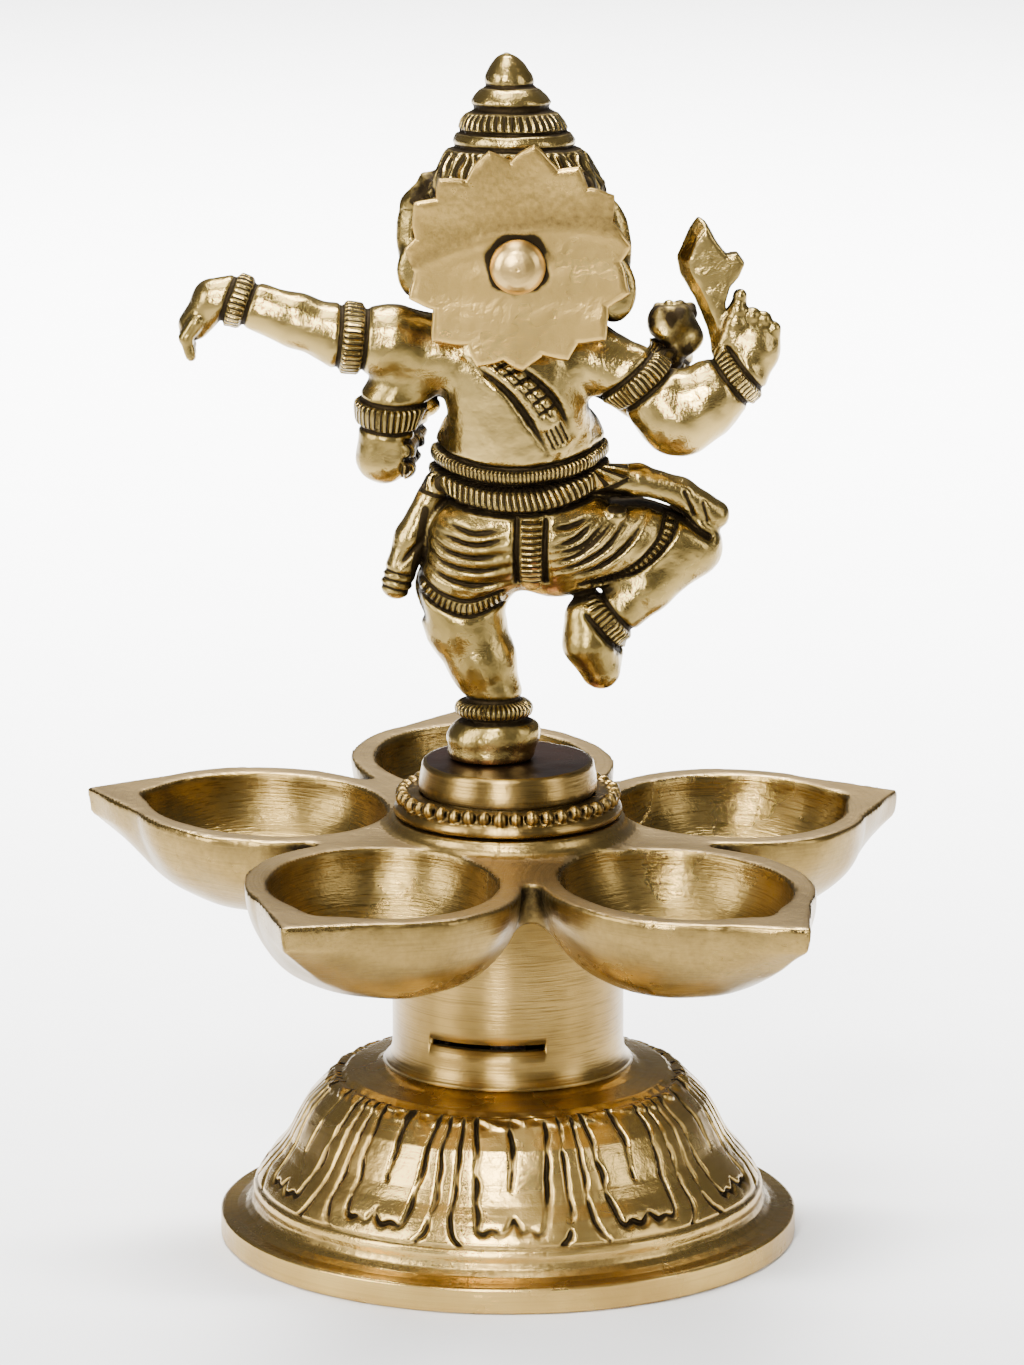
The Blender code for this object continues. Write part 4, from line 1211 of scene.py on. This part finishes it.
def make_base(material):
    outer = [(12.0, 29.6), (19.9, 29.6), (20.6, 29.35), (22.2, 28.75), (25.6, 28.35), (26.8, 28.2)]
    outer += [(27.3, 27.8), (27.9, 27.4)] + DOME
    outer += [(42.55, 8.9), (42.7, 8.0), (42.6, 7.1), (42.6, 6.8), (43.0, 5.9), (44.0, 5.0), (45.4, 4.5)]
    edge = FLANGE_RADIUS
    outer += [(edge - 0.5, 4.4), (edge, 4.1), (edge, 0.35), (edge - 0.35, 0.0)]
    inner = [(44.8, 0.0), (39.4, 5.2), (38.2, 10.2), (34.2, 16.5), (31.2, 22.4), (27.0, 25.4), (22.0, 26.6)]
    inner += [(3.3, 26.6), (3.3, 29.6)]
    profile = np.vstack([fine(outer, 0.22), fine(inner, 1.2)])
    points, faces, hollow = revolve(profile, 1100, carve_petals)
    dents = 0.10 * noise(points, 9.0, 55) + 0.035 * noise(points, 2.2, 56)
    outward = points * [1, 1, 0] / (np.linalg.norm(points[:, :2], axis=1)[:, None] + 1e-6)
    points = points + outward * np.where(points[:, 2] > 4.5, dents, 0.25 * dents)[:, None]
    piece = add_piece("lotus_bell", points, faces, material, "stand", hollow)
    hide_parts("lotus_base")


SLOT_MIDDLE = radians(-101.6)
SLOT_HALF = radians(31.3)
SLOT_HEIGHTS = (36.1, 37.35)
SLOT_ROW = 5


def make_column(material):
    """The tube, as rows of quads; those inside the slot are left out, and its walls are joined through."""
    steps = 360
    heights = [COLUMN_FOOT + rise for rise in (0, 0.5, 1.3, 2.6)]
    heights += [34.0, *SLOT_HEIGHTS, *np.linspace(39.0, 62.9, 12)]
    outer = [20.9, 20.5, 19.75, 19.35] + [19.3] * (len(heights) - 4)
    angle = tau * np.arange(steps) / steps + SLOT_MIDDLE
    points = []
    for radii in (outer, [17.1] * len(heights)):
        for radius, height in zip(radii, heights):
            points.append(np.stack([radius * np.cos(angle), radius * np.sin(angle), 0 * angle + height], 1))
    rows = len(heights)
    cut = int(steps * SLOT_HALF / tau)
    faces = []

    def spot(wall, row, step):
        return (wall * rows + row) * steps + step % steps

    def between_walls(row, step, turn):
        ring = [spot(0, row, step), spot(1, row, step), spot(1, row, step + 1), spot(0, row, step + 1)]
        faces.append(ring[::turn])

    for step in range(steps):
        inside_cut = step < cut or step >= steps - cut
        for row in range(rows - 1):
            if row == SLOT_ROW and inside_cut:
                continue
            for wall, turn in ((0, 1), (1, -1)):
                side = [spot(wall, row, step), spot(wall, row, step + 1)]
                side += [spot(wall, row + 1, step + 1), spot(wall, row + 1, step)]
                faces.append(side[::turn])
        between_walls(0, step, 1)
        between_walls(rows - 1, step, -1)
        if inside_cut:
            between_walls(SLOT_ROW, step, -1)
            between_walls(SLOT_ROW + 1, step, 1)
    for step, turn in ((cut, 1), (steps - cut, -1)):
        ring = [spot(0, SLOT_ROW, step), spot(0, SLOT_ROW + 1, step)]
        ring += [spot(1, SLOT_ROW + 1, step), spot(1, SLOT_ROW, step)]
        faces.append(ring[::turn])
    points = np.concatenate(points)
    radius = np.hypot(points[:, 0], points[:, 1])
    # Painted shade darkens the tube's inner wall, seen through the slot; the outer wall is also darker in a
    # narrow band at its foot and over its top five millimetres.
    hollow = np.clip((18 - radius), 0, 0.7) + 0.35 * np.exp(-((points[:, 2] - COLUMN_FOOT) ** 2))
    hollow += np.clip((points[:, 2] - 57) / 5, 0, 1) * 0.5
    piece = add_piece("column_tube", points, faces, material, "stand", hollow)
    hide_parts("column")


BEADS = 42
COLLAR_TOP = 76.0


def make_pedestal(brushed, stain_and_shade):
    foot = HUB_TOP + 0.3
    ledge = COLLAR_TOP + 0.3
    top, edge = DRUM_TOP, DRUM_EDGE
    profile = [(2.8, top), (9.0, top), (edge - 1.3, top), (edge - 0.75, top - 0.12)]
    profile += [(edge - 0.5, top - 0.5), (edge - 0.1, 78.4), (edge, 77.6), (edge, ledge + 0.3)]
    profile += [(edge - 0.3, ledge), (14.2, ledge), (14.2, foot), (10.0, foot), (10.0, foot + 1.4)]
    profile += [(2.8, foot + 1.4)]
    points, faces, _ = revolve(fine(profile, 0.3), 240)
    radius = np.hypot(points[:, 0], points[:, 1])
    on_top = points[:, 2] > top - 0.3
    # The drum's side is darker towards its bottom, above the beads.
    darkening = np.clip((78.4 - points[:, 2]) / 1.6, 0, 1) * 0.62
    hollow = np.where(on_top, np.clip(radius - (edge - 2.4), 0, 1) * 0.1, darkening)
    points[:, 2] += np.where(on_top, 0.05 * noise(points, 3.0, 71), 0)
    piece = add_piece("pedestal_disc", points, faces, brushed, "figure_group", hollow)
    piece.data.materials.append(stain_and_shade)
    covered = (on_top & (radius < edge - 0.9))[faces].all(1)
    piece.data.polygons.foreach_set("material_index", covered.astype(np.int32))
    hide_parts("pedestal")


def make_collar(material):
    """A ring with a ledge and a row of beads standing out from it, just above its rounded edge."""
    clay = Clay((-20.5, -20.5, 71.5), (20.5, 20.5, 77.6), GRAIN * 0.7)
    x, y, z = clay.window(clay.low, clay.low + 60)[1]
    radius = np.hypot(x, y) + 0 * z
    foot = HUB_TOP + 0.3
    edge = np.interp(z, [foot, foot + 0.5, 73.4, 74.2, 74.6, 76.5], [18.7, 19.05, 19.0, 18.5, 17.6, 17.3])
    ring = shared(radius - edge, np.maximum(z - COLLAR_TOP, foot - z) + 0 * x, 0.5)
    turn = np.arctan2(y, x) * BEADS / tau
    number = np.round(turn)
    round_off = (turn - number) * tau / BEADS * 17.6 + 0 * z
    size = 1.2 + 0.09 * np.sin(number * 2.7) + 0 * z
    high = 75.45 + 0.12 * np.sin(number * 1.9)
    bead = np.sqrt((round_off / 0.92) ** 2 + (radius - 17.6) ** 2 + ((z - high) / 1.05) ** 2) - size
    clay.field = np.asarray(np.maximum(melted(ring, bead, 0.25), 14.5 - radius), np.float32)
    piece = clay_piece("collar_of_beads", clay, material, "figure_group", 0.04, 61)
    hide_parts("beaded_collar")


# The studio.


def make_floor():
    bpy.ops.mesh.primitive_plane_add(size=6, location=(0, 0, -0.0002))
    floor = bpy.context.object
    floor.name = "studio_floor"
    nodes = Nodes("floor_paper")
    grain = nodes.noise(nodes.place(), 40, 3.0)
    nodes.link(nodes.mix(grain, (0.88, 0.88, 0.88), (0.92, 0.92, 0.92)), nodes.shader.inputs["Base Color"])
    nodes.shader.inputs["Roughness"].default_value = 0.9
    floor.data.materials.append(nodes.material)


def softbox(name, place, aim, size, power, spread=180):
    """A rectangular light, with a grid over it where its spread is narrow."""
    light = bpy.data.lights.new(name, "AREA")
    light.spread = radians(spread)
    light.shape = "RECTANGLE"
    light.size, light.size_y = size
    light.energy = power
    holder = bpy.data.objects.new(name, light)
    bpy.context.collection.objects.link(holder)
    holder.location = place
    holder.rotation_euler = (Vector(aim) - Vector(place)).to_track_quat("-Z", "Y").to_euler()


def light_studio():
    middle = (0, 0, 0.10)
    softbox("key_left", (-0.80, -0.45, 0.42), middle, (0.40, 0.75), 3.4, 90)
    softbox("fill_right", (0.85, -0.40, 0.40), middle, (0.30, 0.75), 0.95, 90)
    softbox("front_strip", (-0.20, -1.10, 0.30), middle, (0.16, 0.60), 0.45, 24)
    softbox("front_high", (-0.13, -0.80, 0.80), middle, (0.26, 0.30), 0.5, 26)
    softbox("top", (-0.15, -0.10, 1.1), middle, (0.5, 0.5), 0.9, 50)
    softbox("behind", (0.0, 0.9, 1.6), (0, 0.75, 0), (1.2, 0.9), 52.0, 56)
    world = bpy.data.worlds.new("studio")
    world.use_nodes = True
    world.node_tree.nodes["Background"].inputs["Color"].default_value = (1, 0.98, 0.95, 1)
    world.node_tree.nodes["Background"].inputs["Strength"].default_value = 0.19
    bpy.context.scene.world = world


def place_camera():
    elevation = radians(13.5)
    aim = Vector((AXIS[0] + 0.67, AXIS[1], 94.4)) * MM
    data = bpy.data.cameras.new("camera")
    data.lens = 237.4
    data.sensor_width = 36
    data.clip_end = 20
    camera = bpy.data.objects.new("camera", data)
    bpy.context.collection.objects.link(camera)
    camera.location = aim + 1.491 * Vector((0, -cos(elevation), sin(elevation)))
    camera.rotation_euler = (pi / 2 - elevation, 0, 0)
    bpy.context.scene.camera = camera


def repaint(node, material):
    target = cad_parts[node]
    for number in range(len(target.material_slots)):
        target.material_slots[number].link = "OBJECT"
        target.material_slots[number].material = material


def make_lamp():
    figure = brass(
        "figure_brass", (0.48, 0.34, 0.11), (0.24, 0.17, 0.05), 0.21, (0.24, 0.54), 0.5, ridged=True
    )
    cast = brass("cast_brass", (0.57, 0.39, 0.12), (0.44, 0.285, 0.085), 0.22, (0.26, 0.60), 0.32, 0.25)
    outer = brass("tray_brass", (0.35, 0.235, 0.075), (0.22, 0.145, 0.043), 0.25, (0.40, 0.80), 0.2, 0.35)
    spun = brass(
        "spun_brass", (0.34, 0.222, 0.068), (0.21, 0.133, 0.037), 0.26, (0.35, 0.8), 0.12, 0.7, shine=0.7
    )
    rim = brass("ground_rim", (0.40, 0.28, 0.13), (0.32, 0.22, 0.095), 0.34, (0.4, 0.9), 0.5, 0.5)
    bowl = brass("brushed_bowl", (0.26, 0.175, 0.054), (0.17, 0.11, 0.031), 0.24, (0.5, 0.95), 0.25, 1.0)
    plate = brass("plate_brass", (0.66, 0.45, 0.16), (0.54, 0.35, 0.11), 0.27, (0.30, 0.7), 0.25, 0.1)
    disc = brass(
        "hammered_disc", (0.72, 0.475, 0.14), (0.58, 0.37, 0.10), 0.25, (0.38, 0.75), 0.3, 0.1, bent=True
    )
    stain_and_shade = brass("stained_top", (0.10, 0.05, 0.035), (0.05, 0.025, 0.022), 0.26, (0.4, 0.9), 0.2, 0.2)
    steel = zinc("zinc_steel")
    make_base(cast)
    make_column(spun)
    make_tray((outer, bowl, rim))
    make_pedestal(spun, stain_and_shade)
    make_collar(spun)
    make_figure(figure)
    make_halo(disc)
    make_rivet(plate)
    for node in ("tie_bolt", "bolt_washer", "lock_washer", "figure_stud"):
        repaint(node, steel)
    repaint("seat_washer", plate)


make_lamp()
make_floor()
light_studio()
place_camera()
